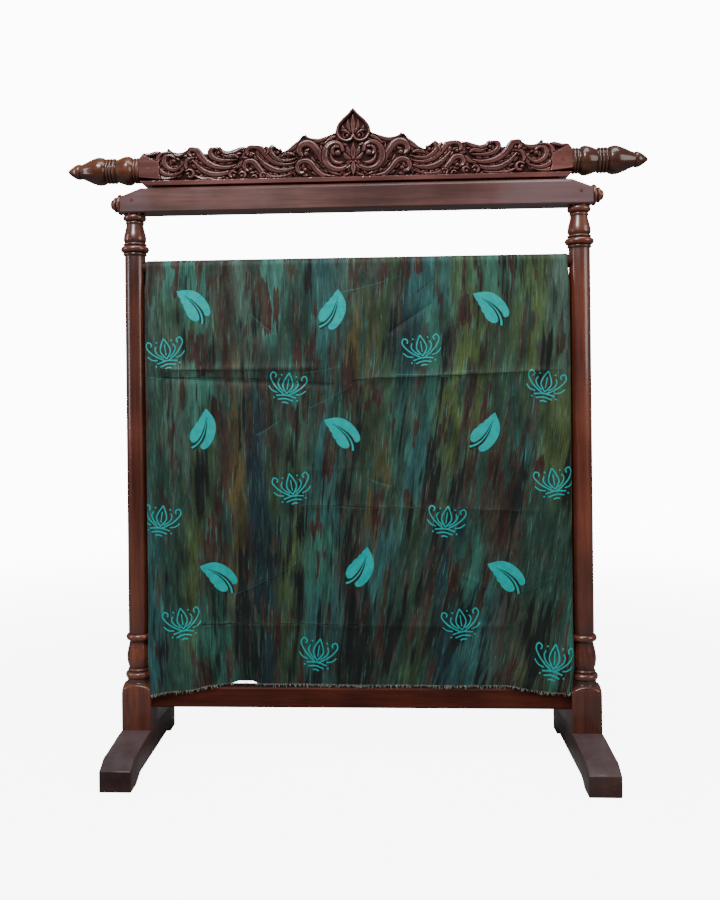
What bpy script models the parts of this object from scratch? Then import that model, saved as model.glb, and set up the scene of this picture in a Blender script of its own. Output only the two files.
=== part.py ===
"""Batik cloth hung over the bar of a turned and carved wooden stand.

Metres, +Z up, feet on z = 0, +X along the rail to the right, the shown side of the cloth faces -Y.
"""
import math

import bmesh
import bpy
import numpy as np

# Gap that keeps neighbouring pieces apart
FIT = 0.0003

# Posts: squared at the base, turned above
POST_X = 0.571
BLOCK_HALF = 0.038
BLOCK_BOTTOM = 0.080
BLOCK_CORNER_R = 0.060
SHAFT_R = 0.0265
POST_TOP = 1.408
POST_SEGMENTS = 16

# Feet, sawn from one thickness, front to back
FOOT_HALF_WIDTH = 0.038
FOOT_HALF_LENGTH = 0.232
TOE_HEIGHT = 0.051
TOE_SLOPE_LENGTH = 0.038
INSTEP_HEIGHT = 0.070
PAD_LENGTH = 0.045
ARCH_RUN = 0.050
ARCH_HEIGHT = 0.016
PAD_EDGE = 0.004
INSTEP_LINE = ((-0.150, 0.0725), (-0.105, 0.0765), (-0.065, 0.0795))

# Rail between the blocks
RAIL_BOTTOM = 0.134
RAIL_TOP = 0.185
RAIL_HALF_DEPTH = 0.022
RAIL_EDGE = 0.003

# Bar that carries the cloth
BAR_Z = 1.268
BAR_R = 0.017
SOCKET_R = 0.0178
SOCKET_DEPTH = 0.013

# Beam over the posts, with sloped ends and chamfered top edges
BEAM_HALF_LENGTH = 0.601
BEAM_HEIGHT = 0.063
BEAM_HALF_DEPTH = 0.033
BEAM_END_RUN = 0.052
BEAM_END_DROP = 0.020
BEAM_TOP_EDGE = 0.008
BEAM_LOW_EDGE = 0.003
BUTTON_Z = POST_TOP + 0.026

# Crest board on its strip
REST_HALF_LENGTH = 0.520
REST_HALF_DEPTH = 0.016
REST_HEIGHT = 0.006
REST_EDGE = 0.0005
BOARD_HALF_LENGTH = 0.553
BOARD_HALF_DEPTH = 0.027
BOARD_END_HEIGHT = 0.082
BOARD_CORNER_R = 0.022
CREST_PEAK = 0.179
FINIAL_Z_ABOVE_BOARD = 0.044
TURNING_SEGMENTS = 16

# Leafy top line of the crest board, right half: distance from the middle, height above its foot
CREST_LINE = (
    (0.492, 0.0850), (0.474, 0.0880), (0.455, 0.0850), (0.416, 0.0885), (0.380, 0.0850),
    (0.337, 0.0870), (0.300, 0.0845), (0.260, 0.0890), (0.228, 0.0860), (0.207, 0.0895),
    (0.189, 0.0770), (0.170, 0.0865), (0.150, 0.1010), (0.136, 0.1190), (0.124, 0.1260),
    (0.112, 0.1170), (0.100, 0.1150), (0.076, 0.1200), (0.050, 0.1270), (0.037, 0.1400),
    (0.026, 0.1570), (0.013, 0.1690),
)

# Cloth, from its flat size to how it hangs
CLOTH_THICKNESS = 0.0014
CLOTH_OFF_BAR = 0.0010
CLOTH_PATH_R = BAR_R + CLOTH_OFF_BAR + CLOTH_THICKNESS / 2
SHEET_WIDTH = 1.150
MARGIN_START = 0.5325
MARGIN_RADIUS = 0.010
MARGIN_ROLL = 3.0
MARGIN_BOW = 0.0065
CORNER_SWING = 0.0135
BACK_HEM_Z = 0.262
BACK_HEM_WAVE = 0.004
BAR_STEPS = 8

# Flat widths and heights at which the sheet is worked out, closer together at its folds
INNER_COLUMNS = (0.022, 0.046, 0.085, 0.130, 0.180, 0.230, 0.275, 0.320, 0.360, 0.395, 0.430,
                 0.468, 0.505)
MARGIN_COLUMNS = (0.0, 0.006, 0.012, 0.018, 0.024, 0.030, SHEET_WIDTH / 2 - MARGIN_START)
LOWEST_ROW = 0.200
FREE_ROW = 0.343
FRONT_ROWS = (LOWEST_ROW, 0.222, 0.255, 0.300, FREE_ROW, 0.390, 0.450, 0.540, 0.640, 0.740, 0.850,
              0.925, 0.957, 0.972, 0.987, 1.004, 1.025, 1.070, 1.120, 1.165, 1.205, 1.235, 1.255)
BACK_ROW_SHARES = (0.02, 0.05, 0.10, 0.20, 0.35, 0.50, 0.65, 0.80, 0.91, 1.0)

WOOD_DARK = (0.075, 0.020, 0.012)
WOOD_RED = (0.130, 0.034, 0.020)
WOOD_AMBER = (0.170, 0.058, 0.026)
BATIK_GREEN = (0.020, 0.055, 0.040)

# Hem of the front drop: distance from the middle, height
HEM = (
    (-0.560, 0.186),
    (-0.520, 0.170),
    (-0.480, 0.179),
    (-0.420, 0.182),
    (-0.385, 0.195),
    (-0.315, 0.205),
    (-0.265, 0.205),
    (-0.235, 0.198),
    (0.000, 0.197),
    (0.200, 0.196),
    (0.380, 0.195),
    (0.440, 0.186),
    (0.510, 0.181),
    (0.560, 0.190),
)

# How far the sheet can spread sideways: height, where its margin starts to turn
SPREAD = (
    (0.150, 0.5190),
    (0.205, 0.5190),
    (0.250, 0.5260),
    (0.345, 0.5270),
    (0.420, MARGIN_START),
    (1.300, MARGIN_START),
)

# How much of the margin is free to turn: height, share of the margin, roll in radians
MARGIN_FREEDOM = (
    (0.150, 0.28, 1.1),
    (0.210, 0.28, 1.1),
    (0.340, 1.00, MARGIN_ROLL),
    (1.130, 1.00, MARGIN_ROLL),
    (1.225, 0.20, 0.5),
    (1.262, 0.14, 0.0),
    (1.300, 0.14, 0.0),
)

# Folds pressed into the front drop: from x, z to x, z, then push towards the viewer, half width
FOLDS = (
    ("upper press line, left", -0.530, 1.002, -0.070, 1.004, 0.0035, 0.016),
    ("lower press line, left", -0.530, 0.981, -0.040, 0.957, -0.0030, 0.014),
    ("press line, right", -0.010, 0.973, 0.530, 0.992, 0.0040, 0.017),
    ("centre fold, upper", -0.031, 0.955, -0.012, 0.550, -0.0038, 0.020),
    ("centre fold, lower", -0.012, 0.550, 0.033, 0.200, -0.0038, 0.020),
    ("slack fold, upper right", 0.060, 1.070, 0.190, 1.165, -0.0032, 0.020),
    ("low cross fold", -0.510, 0.346, 0.460, 0.343, 0.0020, 0.014),
    ("waist cross fold", -0.205, 0.651, 0.515, 0.634, 0.0016, 0.016),
    ("side fold, right", 0.399, 0.930, 0.405, 0.700, -0.0024, 0.022),
    ("drape to left corner", -0.440, 0.420, -0.470, 0.200, -0.0045, 0.024),
    ("drape beside it", -0.395, 0.400, -0.405, 0.200, 0.0030, 0.022),
    ("drape at right hem", 0.405, 0.360, 0.430, 0.200, -0.0030, 0.024),
)


def clear_scene():
    """Remove what a new file holds."""
    for thing in list(bpy.data.objects):
        bpy.data.objects.remove(thing, do_unlink=True)


def finish(name, colour, roughness, coat=0.0):
    """Make one plain finish."""
    material = bpy.data.materials.new(name)
    material.use_nodes = True
    shader = material.node_tree.nodes["Principled BSDF"]
    shader.inputs["Base Color"].default_value = (*colour, 1.0)
    shader.inputs["Roughness"].default_value = roughness
    shader.inputs["Metallic"].default_value = 0.0
    shader.inputs["Coat Weight"].default_value = coat
    material.diffuse_color = (*colour, 1.0)
    return material


def add_object(name, mesh, material, smooth_angle=None):
    """Put a finished mesh in the scene under its name."""
    mesh.name = name
    mesh.materials.append(material)
    if smooth_angle is not None:
        mesh.shade_smooth()
        mesh.set_sharp_from_angle(angle=math.radians(smooth_angle))
    thing = bpy.data.objects.new(name, mesh)
    bpy.context.scene.collection.objects.link(thing)
    return thing


def mesh_from(vertices, faces):
    """Closed mesh from points and faces, its normals turned outwards."""
    mesh = bpy.data.meshes.new("piece")
    mesh.from_pydata([tuple(point) for point in vertices], [], faces)
    work = bmesh.new()
    work.from_mesh(mesh)
    bmesh.ops.recalc_face_normals(work, faces=work.faces)
    work.to_mesh(mesh)
    work.free()
    return mesh


def lofted(rings):
    """Skin over rings of equal point counts, closed by a face at each end."""
    count = len(rings[0])
    vertices = [point for ring in rings for point in ring]
    faces = []
    for row in range(len(rings) - 1):
        low, high = row * count, (row + 1) * count
        for step in range(count):
            after = (step + 1) % count
            faces.append((low + step, low + after, high + after, high + step))
    faces.append(tuple(reversed(range(count))))
    faces.append(tuple(range(len(vertices) - count, len(vertices))))
    return mesh_from(vertices, faces)


# Turned profiles: lists of (distance along the axis, radius)
def bead(start, end, root, crown, steps=4):
    """Half-round ring standing on the root radius."""
    middle, half = (start + end) / 2, (end - start) / 2
    rows = []
    for step in range(steps + 1):
        angle = math.pi * step / steps
        rows.append((middle - half * math.cos(angle), root + (crown - root) * math.sin(angle)))
    return rows


def flowing(points, steps=2):
    """Smooth line through a turner's marks, by Catmull-Rom spans."""
    rows = []
    for index in range(len(points) - 1):
        before = points[max(index - 1, 0)]
        start, end = points[index], points[index + 1]
        after = points[min(index + 2, len(points) - 1)]
        for step in range(steps):
            t = step / steps
            rows.append(tuple(
                0.5 * (2 * b + (c - a) * t + (2 * a - 5 * b + 4 * c - d) * t ** 2
                       + (3 * b - a - 3 * c + d) * t ** 3)
                for a, b, c, d in zip(before, start, end, after)))
    rows.append(points[-1])
    return rows


def post_profile():
    """Post from the bottom of its block to the beam, as turned from square stock."""
    profile = [(BLOCK_BOTTOM + FIT, BLOCK_CORNER_R)]
    profile += [(0.176, 0.0545), (0.184, 0.0495), (0.190, 0.0430), (0.1945, 0.0370), (0.197, 0.0315)]
    profile += [(0.2055, 0.0310)]
    profile += bead(0.2080, 0.2235, 0.0300, 0.0352)
    profile += bead(0.2255, 0.2320, 0.0270, 0.0290, steps=2)
    profile += flowing([(0.2345, 0.0255), (0.2477, 0.0298), (0.2627, 0.0312), (0.2777, 0.0292),
                        (0.2927, 0.0258), (0.3010, 0.0243)])
    profile += bead(0.3045, 0.3215, 0.0262, 0.0330)
    profile += [(0.3235, SHAFT_R), (1.2985, SHAFT_R)]
    profile += bead(1.3000, 1.3065, 0.0272, 0.0303, steps=2)
    profile += bead(1.3078, 1.3245, 0.0285, 0.0362)
    profile += bead(1.3260, 1.3320, 0.0275, 0.0300, steps=2)
    profile += flowing([(1.3340, 0.0268), (1.3410, 0.0290), (1.3520, 0.0279), (1.3660, 0.0245),
                        (1.3790, 0.0217)])
    profile += bead(1.3810, 1.3885, 0.0217, 0.0238, steps=2)
    profile += bead(1.3905, 1.4060, 0.0238, 0.0293)
    profile += [(POST_TOP - FIT, 0.0236)]
    return profile


def finial_profile():
    """Finial from the board's end to its tip: collar, bulb, three rings, bud, knob."""
    profile = [(FIT, 0.0300)]
    profile += bead(0.0020, 0.0085, 0.0310, 0.0330, steps=2)
    profile += bead(0.0100, 0.0165, 0.0308, 0.0328, steps=2)
    profile += flowing([(0.0190, 0.0312), (0.0260, 0.0364), (0.0340, 0.0374), (0.0450, 0.0350),
                        (0.0620, 0.0288)])
    for ring in range(3):
        start = 0.0640 + ring * 0.0085
        profile += bead(start, start + 0.0070, 0.0292, 0.0324, steps=2)
    profile += flowing([(0.0905, 0.0312), (0.0980, 0.0348), (0.1075, 0.0361), (0.1180, 0.0342),
                        (0.1320, 0.0288), (0.1460, 0.0224), (0.1570, 0.0188)])
    profile += flowing([(0.1600, 0.0200), (0.1680, 0.0190), (0.1790, 0.0130), (0.1890, 0.0052),
                        (0.1920, 0.0012)])
    return profile


def button_profile():
    """Button on the beam's end: broad ring, groove, small ring, tip."""
    profile = [(FIT, 0.0235)]
    profile += bead(0.0020, 0.0120, 0.0225, 0.0268)
    profile += [(0.0135, 0.0195)]
    profile += bead(0.0150, 0.0225, 0.0170, 0.0195, steps=2)
    profile += flowing([(0.0240, 0.0140), (0.0285, 0.0122), (0.0315, 0.0075), (0.0330, 0.0010)])
    return profile


def turned_along_x(profile, origin, side):
    """Rings round a level axis that runs outwards on one side."""
    rings = []
    for distance, radius in profile:
        ring = []
        for step in range(TURNING_SEGMENTS):
            angle = 2 * math.pi * (step + 0.5) / TURNING_SEGMENTS
            ring.append((origin[0] + side * distance, origin[1] + radius * math.cos(angle),
                         origin[2] + radius * math.sin(angle)))
        rings.append(ring)
    return lofted(rings)


def squared_ring(centre_x, height, radius):
    """Ring of a turned post, cut off by the flats of its square stock."""
    ring = []
    for step in range(POST_SEGMENTS):
        angle = 2 * math.pi * step / POST_SEGMENTS
        along, across = math.cos(angle), math.sin(angle)
        flat = BLOCK_HALF / max(abs(along), abs(across))
        reach = min(radius, flat)
        ring.append((centre_x + reach * along, reach * across, height))
    return ring


def make_post(name, side, material):
    """One post, with the blind socket that holds the bar."""
    rings = [squared_ring(side * POST_X, height, radius) for height, radius in post_profile()]
    post = add_object(name, lofted(rings), material, smooth_angle=35)
    socket = make_socket_cutter(name + "_socket_cutter", side)
    cut = post.modifiers.new("bar socket", "BOOLEAN")
    cut.object = socket
    cut.operation = "DIFFERENCE"
    cut.solver = "EXACT"
    return post


def make_socket_cutter(name, side):
    """Round cutter that opens the post's inner side."""
    inner = side * (POST_X - SHAFT_R - 0.010)
    bottom = side * (POST_X - SHAFT_R + SOCKET_DEPTH)
    cutter = add_object(name, lofted([round_ring(inner, SOCKET_R), round_ring(bottom, SOCKET_R)]),
                        bpy.data.materials["post wood"])
    cutter.hide_render = True
    cutter.display_type = "WIRE"
    return cutter


def round_ring(x, radius, count=20):
    """Upright ring round the bar's axis."""
    return [(x, radius * math.cos(2 * math.pi * step / count),
             BAR_Z + radius * math.sin(2 * math.pi * step / count)) for step in range(count)]


def make_bar(material):
    """Round bar, ending just short of the sockets' bottoms."""
    reach = POST_X - SHAFT_R + SOCKET_DEPTH - FIT
    mesh = lofted([round_ring(-reach, BAR_R), round_ring(reach, BAR_R)])
    return add_object("hanging_bar", mesh, material, smooth_angle=35)


def foot_outline():
    """Side view of a foot (y, z), toe to toe over the top and back under the arch."""
    length = FOOT_HALF_LENGTH
    slope_end = length - TOE_SLOPE_LENGTH
    top = [(-length, TOE_HEIGHT), (-slope_end, INSTEP_HEIGHT)]
    top += [*INSTEP_LINE, (-BLOCK_HALF, BLOCK_BOTTOM)]
    top += [(-y, z) for y, z in reversed(top)]
    pad = length - PAD_LENGTH
    under = [(length, PAD_EDGE), (length - PAD_EDGE, 0.0), (pad, 0.0)]
    for step in range(1, 4):
        share = step / 4
        rise = ARCH_HEIGHT * (3 * share ** 2 - 2 * share ** 3)
        under.append((pad - ARCH_RUN * share, rise))
    under.append((pad - ARCH_RUN, ARCH_HEIGHT))
    under += [(-y, z) for y, z in reversed(under)]
    return top + under


def sawn_from_board(outline, low, high, axis):
    """Prism of an outline between two planes, square to X or to Y."""
    if axis == "X":
        rings = [[(x, y, z) for y, z in outline] for x in (low, high)]
    else:
        rings = [[(x, y, z) for x, z in outline] for y in (low, high)]
    return lofted(rings)


def make_foot(name, side, material):
    """One foot, its sides sawn square."""
    centre = side * POST_X
    mesh = sawn_from_board(foot_outline(), centre - FOOT_HALF_WIDTH, centre + FOOT_HALF_WIDTH, "X")
    return add_object(name, mesh, material)


def beam_section(x, bottom, top, half_depth, top_edge, low_edge):
    """Eight-sided section of a long piece, its edges chamfered."""
    return [
        (x, -half_depth + low_edge, bottom),
        (x, half_depth - low_edge, bottom),
        (x, half_depth, bottom + low_edge),
        (x, half_depth, top - top_edge),
        (x, half_depth - top_edge, top),
        (x, -half_depth + top_edge, top),
        (x, -half_depth, top - top_edge),
        (x, -half_depth, bottom + low_edge),
    ]


def make_beam(material):
    """Beam over the posts, its ends sloping down."""
    top = POST_TOP + BEAM_HEIGHT
    stations = ((-BEAM_HALF_LENGTH, BEAM_END_DROP), (-BEAM_HALF_LENGTH + BEAM_END_RUN, 0.0),
                (BEAM_HALF_LENGTH - BEAM_END_RUN, 0.0), (BEAM_HALF_LENGTH, BEAM_END_DROP))
    rings = [beam_section(x, POST_TOP, top - drop, BEAM_HALF_DEPTH, BEAM_TOP_EDGE, BEAM_LOW_EDGE)
             for x, drop in stations]
    return add_object("top_beam", lofted(rings), material)


def make_rail(material):
    """Rail between the blocks."""
    reach = POST_X - BLOCK_HALF - FIT
    rings = [beam_section(x, RAIL_BOTTOM, RAIL_TOP, RAIL_HALF_DEPTH, RAIL_EDGE, RAIL_EDGE)
             for x in (-reach, reach)]
    return add_object("lower_rail", lofted(rings), material)


def board_bottom():
    """Height of the crest board's lower edge."""
    return POST_TOP + BEAM_HEIGHT + REST_HEIGHT + 2 * FIT


def make_crest_rest(material):
    """Strip that lifts the crest board off the beam."""
    low = POST_TOP + BEAM_HEIGHT + FIT
    rings = [beam_section(x, low, low + REST_HEIGHT, REST_HALF_DEPTH, REST_EDGE, REST_EDGE)
             for x in (-REST_HALF_LENGTH, REST_HALF_LENGTH)]
    return add_object("crest_rest", lofted(rings), material)


def crest_outline():
    """Front view of the crest board (x, z): straight foot, round corners, leafy top line."""
    bottom = board_bottom()
    corner = []
    for step in range(5):
        angle = math.pi / 2 * step / 4
        corner.append((BOARD_HALF_LENGTH - BOARD_CORNER_R * (1 - math.sin(angle)),
                       BOARD_CORNER_R * (1 - math.cos(angle))))
    shoulder = []
    for step in range(5):
        angle = math.pi / 2 * step / 4
        shoulder.append((BOARD_HALF_LENGTH - BOARD_CORNER_R * (1 - math.cos(angle)),
                         BOARD_END_HEIGHT - BOARD_CORNER_R * (1 - math.sin(angle))))
    right = corner + shoulder + list(CREST_LINE)
    left = [(-x, z) for x, z in reversed(right)]
    return [(x, z + bottom) for x, z in right + [(0.0, CREST_PEAK)] + left]


def make_crest_board(material):
    """Crest board, sawn to its outline."""
    mesh = sawn_from_board(crest_outline(), -BOARD_HALF_DEPTH, BOARD_HALF_DEPTH, "Y")
    return add_object("crest_board", mesh, material)


# The cloth: its flat width is a, its hang is worked out in three runs, front drop, bar, back drop
def eased(value, start, end):
    """Smooth step from 0 at the start to 1 at the end, which may lie below it."""
    share = min(max((value - start) / (end - start), 0.0), 1.0)
    return share * share * (3 - 2 * share)


def read_off(table, at, column=1):
    """Value of a table's column, straight between its rows."""
    return float(np.interp(at, [row[0] for row in table], [row[column] for row in table]))


def fold_push(x, z):
    """Total push of the pressed folds at a point of the front drop."""
    total = 0.0
    for _name, x0, z0, x1, z1, push, width in FOLDS:
        run_x, run_z = x1 - x0, z1 - z0
        length = math.hypot(run_x, run_z)
        along = ((x - x0) * run_x + (z - z0) * run_z) / length ** 2
        nearest = min(max(along, 0.0), 1.0)
        off = math.hypot(x - x0 - nearest * run_x, z - z0 - nearest * run_z)
        ends = eased(nearest, 0.0, 0.12) * eased(nearest, 1.0, 0.88)
        total += push * ends * math.exp(-(off / width) ** 2)
    return total


def corner_swing(x, z):
    """How far the hem's two corners swing forward, past the rail's face."""
    beside = eased(x, -0.335, -0.400) + eased(x, 0.365, 0.430)
    return CORNER_SWING * beside * eased(z, 0.330, 0.205)


def margin_bow(x, z):
    """How far both drops bow outwards beside their margins, below the bar."""
    return MARGIN_BOW * eased(abs(x), 0.430, 0.520) * eased(z, BAR_Z - 0.006, BAR_Z - 0.070)


def front_push(x, z):
    """How far the front drop stands forward of a plumb sheet."""
    below_bar = eased(z, BAR_Z - 0.010, BAR_Z - 0.200)
    billow = 0.0030 * math.sin(5.2 * x + 0.6) * math.sin(3.4 * z + 0.3)
    flutes = 0.0018 * math.sin(27.0 * x + 1.1 + 2.0 * z) * eased(z, 0.80, 0.25)
    pressed = below_bar * (0.0022 + billow + flutes + fold_push(x, z))
    return pressed + margin_bow(x, z) + corner_swing(x, z)


def back_push(x, z):
    """How far the back drop stands away from a plumb sheet."""
    below_bar = eased(z, BAR_Z - 0.010, BAR_Z - 0.200)
    billow = 0.0035 * math.sin(4.3 * x - 0.8) * math.sin(3.0 * z + 1.0)
    return below_bar * (0.0030 + billow) + margin_bow(x, z)


def margin_turn(beyond, roll):
    """Sideways and inward travel of the margin, so far beyond where it starts to turn."""
    turn = min(beyond / MARGIN_RADIUS, roll)
    tail = beyond - turn * MARGIN_RADIUS
    sideways = MARGIN_RADIUS * math.sin(turn) + tail * math.cos(turn)
    inward = MARGIN_RADIUS * (1 - math.cos(turn)) + tail * math.sin(turn)
    return sideways, inward


def drop_point(a, z, front):
    """Point of a hanging drop at flat width a and height z."""
    start = read_off(SPREAD, z)
    share = read_off(MARGIN_FREEDOM, z, 1)
    roll = read_off(MARGIN_FREEDOM, z, 2)
    flat = min(abs(a), MARGIN_START)
    sideways, inward = margin_turn((abs(a) - flat) * share, roll)
    x = math.copysign(flat * start / MARGIN_START + sideways, a)
    if front:
        y = -CLOTH_PATH_R - front_push(math.copysign(flat, a), z) + inward
    else:
        y = CLOTH_PATH_R + back_push(math.copysign(flat, a), z) - inward
    return (x, y, z)


def bar_point(a, angle):
    """Point of the cloth on the bar; the angle runs from the front, over the top."""
    flat = min(abs(a), MARGIN_START)
    sideways = (abs(a) - flat) * read_off(MARGIN_FREEDOM, BAR_Z, 1)
    x = math.copysign(flat + sideways, a)
    return (x, -CLOTH_PATH_R * math.cos(angle), BAR_Z + CLOTH_PATH_R * math.sin(angle))


def cloth_columns():
    """Flat widths of all columns, selvedge to selvedge."""
    right = list(INNER_COLUMNS) + [MARGIN_START + step for step in MARGIN_COLUMNS]
    return [-a for a in reversed(right)] + [0.0] + right


def front_heights(a):
    """Heights of the front drop's rows at one column, from its own hem up."""
    start = read_off(SPREAD, LOWEST_ROW)
    x = math.copysign(min(abs(a), MARGIN_START) * start / MARGIN_START, a)
    hem = read_off(HEM, x)
    return [mark + (hem - LOWEST_ROW) * (1 - eased(mark, LOWEST_ROW, FREE_ROW)) for mark in FRONT_ROWS]


def cloth_rows(a):
    """All points of one column, front hem to back hem."""
    points = [drop_point(a, z, True) for z in front_heights(a)]
    points += [bar_point(a, math.pi * step / BAR_STEPS) for step in range(BAR_STEPS + 1)]
    back_hem = BACK_HEM_Z + BACK_HEM_WAVE * math.sin(6.0 * a)
    for share in BACK_ROW_SHARES:
        points.append(drop_point(a, BAR_Z + (back_hem - BAR_Z) * share, False))
    return points


def thick_sheet(grid, thickness):
    """Closed solid of a sheet, from a grid of its middle points."""
    grid = np.array(grid)
    across = np.gradient(grid, axis=0)
    along = np.gradient(grid, axis=1)
    normal = np.cross(across, along)
    normal /= np.linalg.norm(normal, axis=2, keepdims=True)
    columns, rows = grid.shape[:2]
    front = (grid + normal * thickness / 2).reshape(-1, 3)
    back = (grid - normal * thickness / 2).reshape(-1, 3)
    vertices = np.concatenate([front, back])
    other = columns * rows
    faces = []
    for column in range(columns - 1):
        for row in range(rows - 1):
            corner = column * rows + row
            quad = (corner, corner + rows, corner + rows + 1, corner + 1)
            faces.append(quad)
            faces.append(tuple(other + point for point in reversed(quad)))
    rim = [column * rows for column in range(columns)]
    rim += [(columns - 1) * rows + row for row in range(1, rows)]
    rim += [column * rows + rows - 1 for column in range(columns - 2, -1, -1)]
    rim += [row for row in range(rows - 2, 0, -1)]
    for here, there in zip(rim, rim[1:] + rim[:1]):
        faces.append((there, here, other + here, other + there))
    return mesh_from(vertices, faces)


def make_cloth(material):
    """The hung cloth as one sheet."""
    grid = [cloth_rows(a) for a in cloth_columns()]
    return add_object("cloth", thick_sheet(grid, CLOTH_THICKNESS), material, smooth_angle=60)


def build():
    """Make every piece."""
    clear_scene()
    post_wood = finish("post wood", WOOD_RED, 0.28, coat=0.4)
    foot_wood = finish("foot wood", WOOD_DARK, 0.40, coat=0.2)
    beam_wood = finish("beam wood", WOOD_RED, 0.36, coat=0.3)
    carved_wood = finish("carved wood", WOOD_RED, 0.34, coat=0.3)
    finial_wood = finish("finial wood", WOOD_AMBER, 0.24, coat=0.5)
    bar_wood = finish("bar wood", WOOD_DARK, 0.45)
    batik = finish("batik cotton", BATIK_GREEN, 0.85)
    board_end = BOARD_HALF_LENGTH
    finial_z = board_bottom() + FINIAL_Z_ABOVE_BOARD
    for word, side in (("left", -1), ("right", 1)):
        make_foot("foot_" + word, side, foot_wood)
        make_post("post_" + word, side, post_wood)
        button = turned_along_x(button_profile(), (side * BEAM_HALF_LENGTH, 0.0, BUTTON_Z), side)
        add_object("beam_button_" + word, button, post_wood, smooth_angle=35)
        finial = turned_along_x(finial_profile(), (side * board_end, 0.0, finial_z), side)
        add_object("crest_finial_" + word, finial, finial_wood, smooth_angle=35)
    make_rail(foot_wood)
    make_bar(bar_wood)
    make_beam(beam_wood)
    make_crest_rest(bar_wood)
    make_crest_board(carved_wood)
    make_cloth(batik)


build()
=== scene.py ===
"""Looks of the batik cloth and of the carved stand it hangs on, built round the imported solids.

Metres, +Z up, feet on z = 0, +X along the rail to the right, the shown side of the cloth faces -Y.
"""
from __future__ import annotations

import logging
import math
from dataclasses import dataclass
from enum import Enum
from typing import Callable, Sequence

import bmesh
import bpy
import numpy as np
from mathutils import Matrix, Vector
from mathutils.geometry import delaunay_2d_cdt

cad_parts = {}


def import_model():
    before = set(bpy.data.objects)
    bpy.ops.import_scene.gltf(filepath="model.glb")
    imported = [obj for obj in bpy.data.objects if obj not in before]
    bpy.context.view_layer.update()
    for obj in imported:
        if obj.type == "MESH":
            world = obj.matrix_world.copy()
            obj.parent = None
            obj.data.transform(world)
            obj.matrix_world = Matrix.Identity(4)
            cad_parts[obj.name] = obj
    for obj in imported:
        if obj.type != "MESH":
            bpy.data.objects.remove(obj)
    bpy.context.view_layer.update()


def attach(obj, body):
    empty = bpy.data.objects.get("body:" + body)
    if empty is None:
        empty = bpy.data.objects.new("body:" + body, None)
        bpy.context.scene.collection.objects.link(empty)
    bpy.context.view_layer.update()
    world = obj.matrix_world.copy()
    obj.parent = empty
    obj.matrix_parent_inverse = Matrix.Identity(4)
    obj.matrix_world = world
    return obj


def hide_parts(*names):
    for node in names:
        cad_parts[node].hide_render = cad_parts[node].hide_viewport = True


log = logging.getLogger("batik_stand")

Colour = tuple[float, float, float]
Point2 = tuple[float, float]
Point3 = tuple[float, float, float]
Profile = list[Point2]
Array = np.ndarray
Material = bpy.types.Material
Mesh = bpy.types.Mesh
Node = bpy.types.Node
Socket = bpy.types.NodeSocket

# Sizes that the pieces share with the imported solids
FIT = 0.0003
POST_X = 0.571
BLOCK_HALF = 0.038
BLOCK_BOTTOM = 0.08
SHAFT_R = 0.0265
POST_TOP = 1.408
BAR_Z = 1.268
BAR_R = 0.017
BEAM_HEIGHT = 0.063
BEAM_HALF_LENGTH = 0.601
BOARD_BOTTOM = POST_TOP + BEAM_HEIGHT + 0.006 + 2 * FIT
BOARD_HALF_LENGTH = 0.553
BUTTON_Z = POST_TOP + 0.026
FINIAL_Z = BOARD_BOTTOM + 0.044

# Sizes of the cloth: height of the front hem, lengths of the drops and of the turn over the bar
HEM_Z = 0.2
FRONT_DROP = 1.068
OVER_BAR = 0.06
BACK_DROP = 1.006
DYE_TOP = 1.27
DYE_FALL = 1.07
HALF_WIDTH = 0.575


class Grain(Enum):
    """How the noise of a timber's grain is scaled, by the direction in which it runs."""

    ALONG_X = (1.3, 22.0, 22.0)
    ALONG_Y = (22.0, 1.3, 22.0)
    ALONG_Z = (22.0, 22.0, 1.3)


class Stain(Enum):
    """Dark, middle and light tone of the stained timbers, linear RGB."""

    RED = ((0.048, 0.01, 0.005), (0.125, 0.0265, 0.012), (0.205, 0.054, 0.024))
    CARVED = ((0.038, 0.011, 0.0092), (0.108, 0.037, 0.032), (0.19, 0.076, 0.068))
    PLUM = ((0.042, 0.0125, 0.01), (0.098, 0.03, 0.024), (0.16, 0.058, 0.048))
    DEEP = ((0.014, 0.004, 0.0026), (0.036, 0.009, 0.0056), (0.064, 0.018, 0.01))
    AMBER = ((0.036, 0.0095, 0.0045), (0.088, 0.025, 0.01), (0.155, 0.054, 0.022))
    RUST = ((0.026, 0.0046, 0.002), (0.066, 0.011, 0.0044), (0.105, 0.0205, 0.0085))


class Dye(Enum):
    """Dye bath colours of the cloth, linear RGB."""

    TEAL = (0.026, 0.11, 0.082)
    PALE_TEAL = (0.046, 0.16, 0.128)
    GREY_GREEN = (0.042, 0.078, 0.06)
    DEEP_GREEN = (0.016, 0.045, 0.033)
    BLUE_TEAL = (0.022, 0.086, 0.086)
    OLIVE = (0.054, 0.082, 0.024)
    MOSS = (0.031, 0.058, 0.026)
    OCHRE = (0.068, 0.054, 0.018)
    BROWN = (0.034, 0.0235, 0.0165)
    MAROON = (0.034, 0.0145, 0.012)
    SMOKE = (0.032, 0.043, 0.034)
    NAVY = (0.006, 0.019, 0.029)
    BLACK = (0.004, 0.007, 0.006)


def eased(value: Array | float, start: float, end: float) -> Array | float:
    """Smooth step between two values, either of which may be the larger."""
    share = np.clip((value - start) / (end - start), 0.0, 1.0)
    return share * share * (3 - 2 * share)


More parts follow.
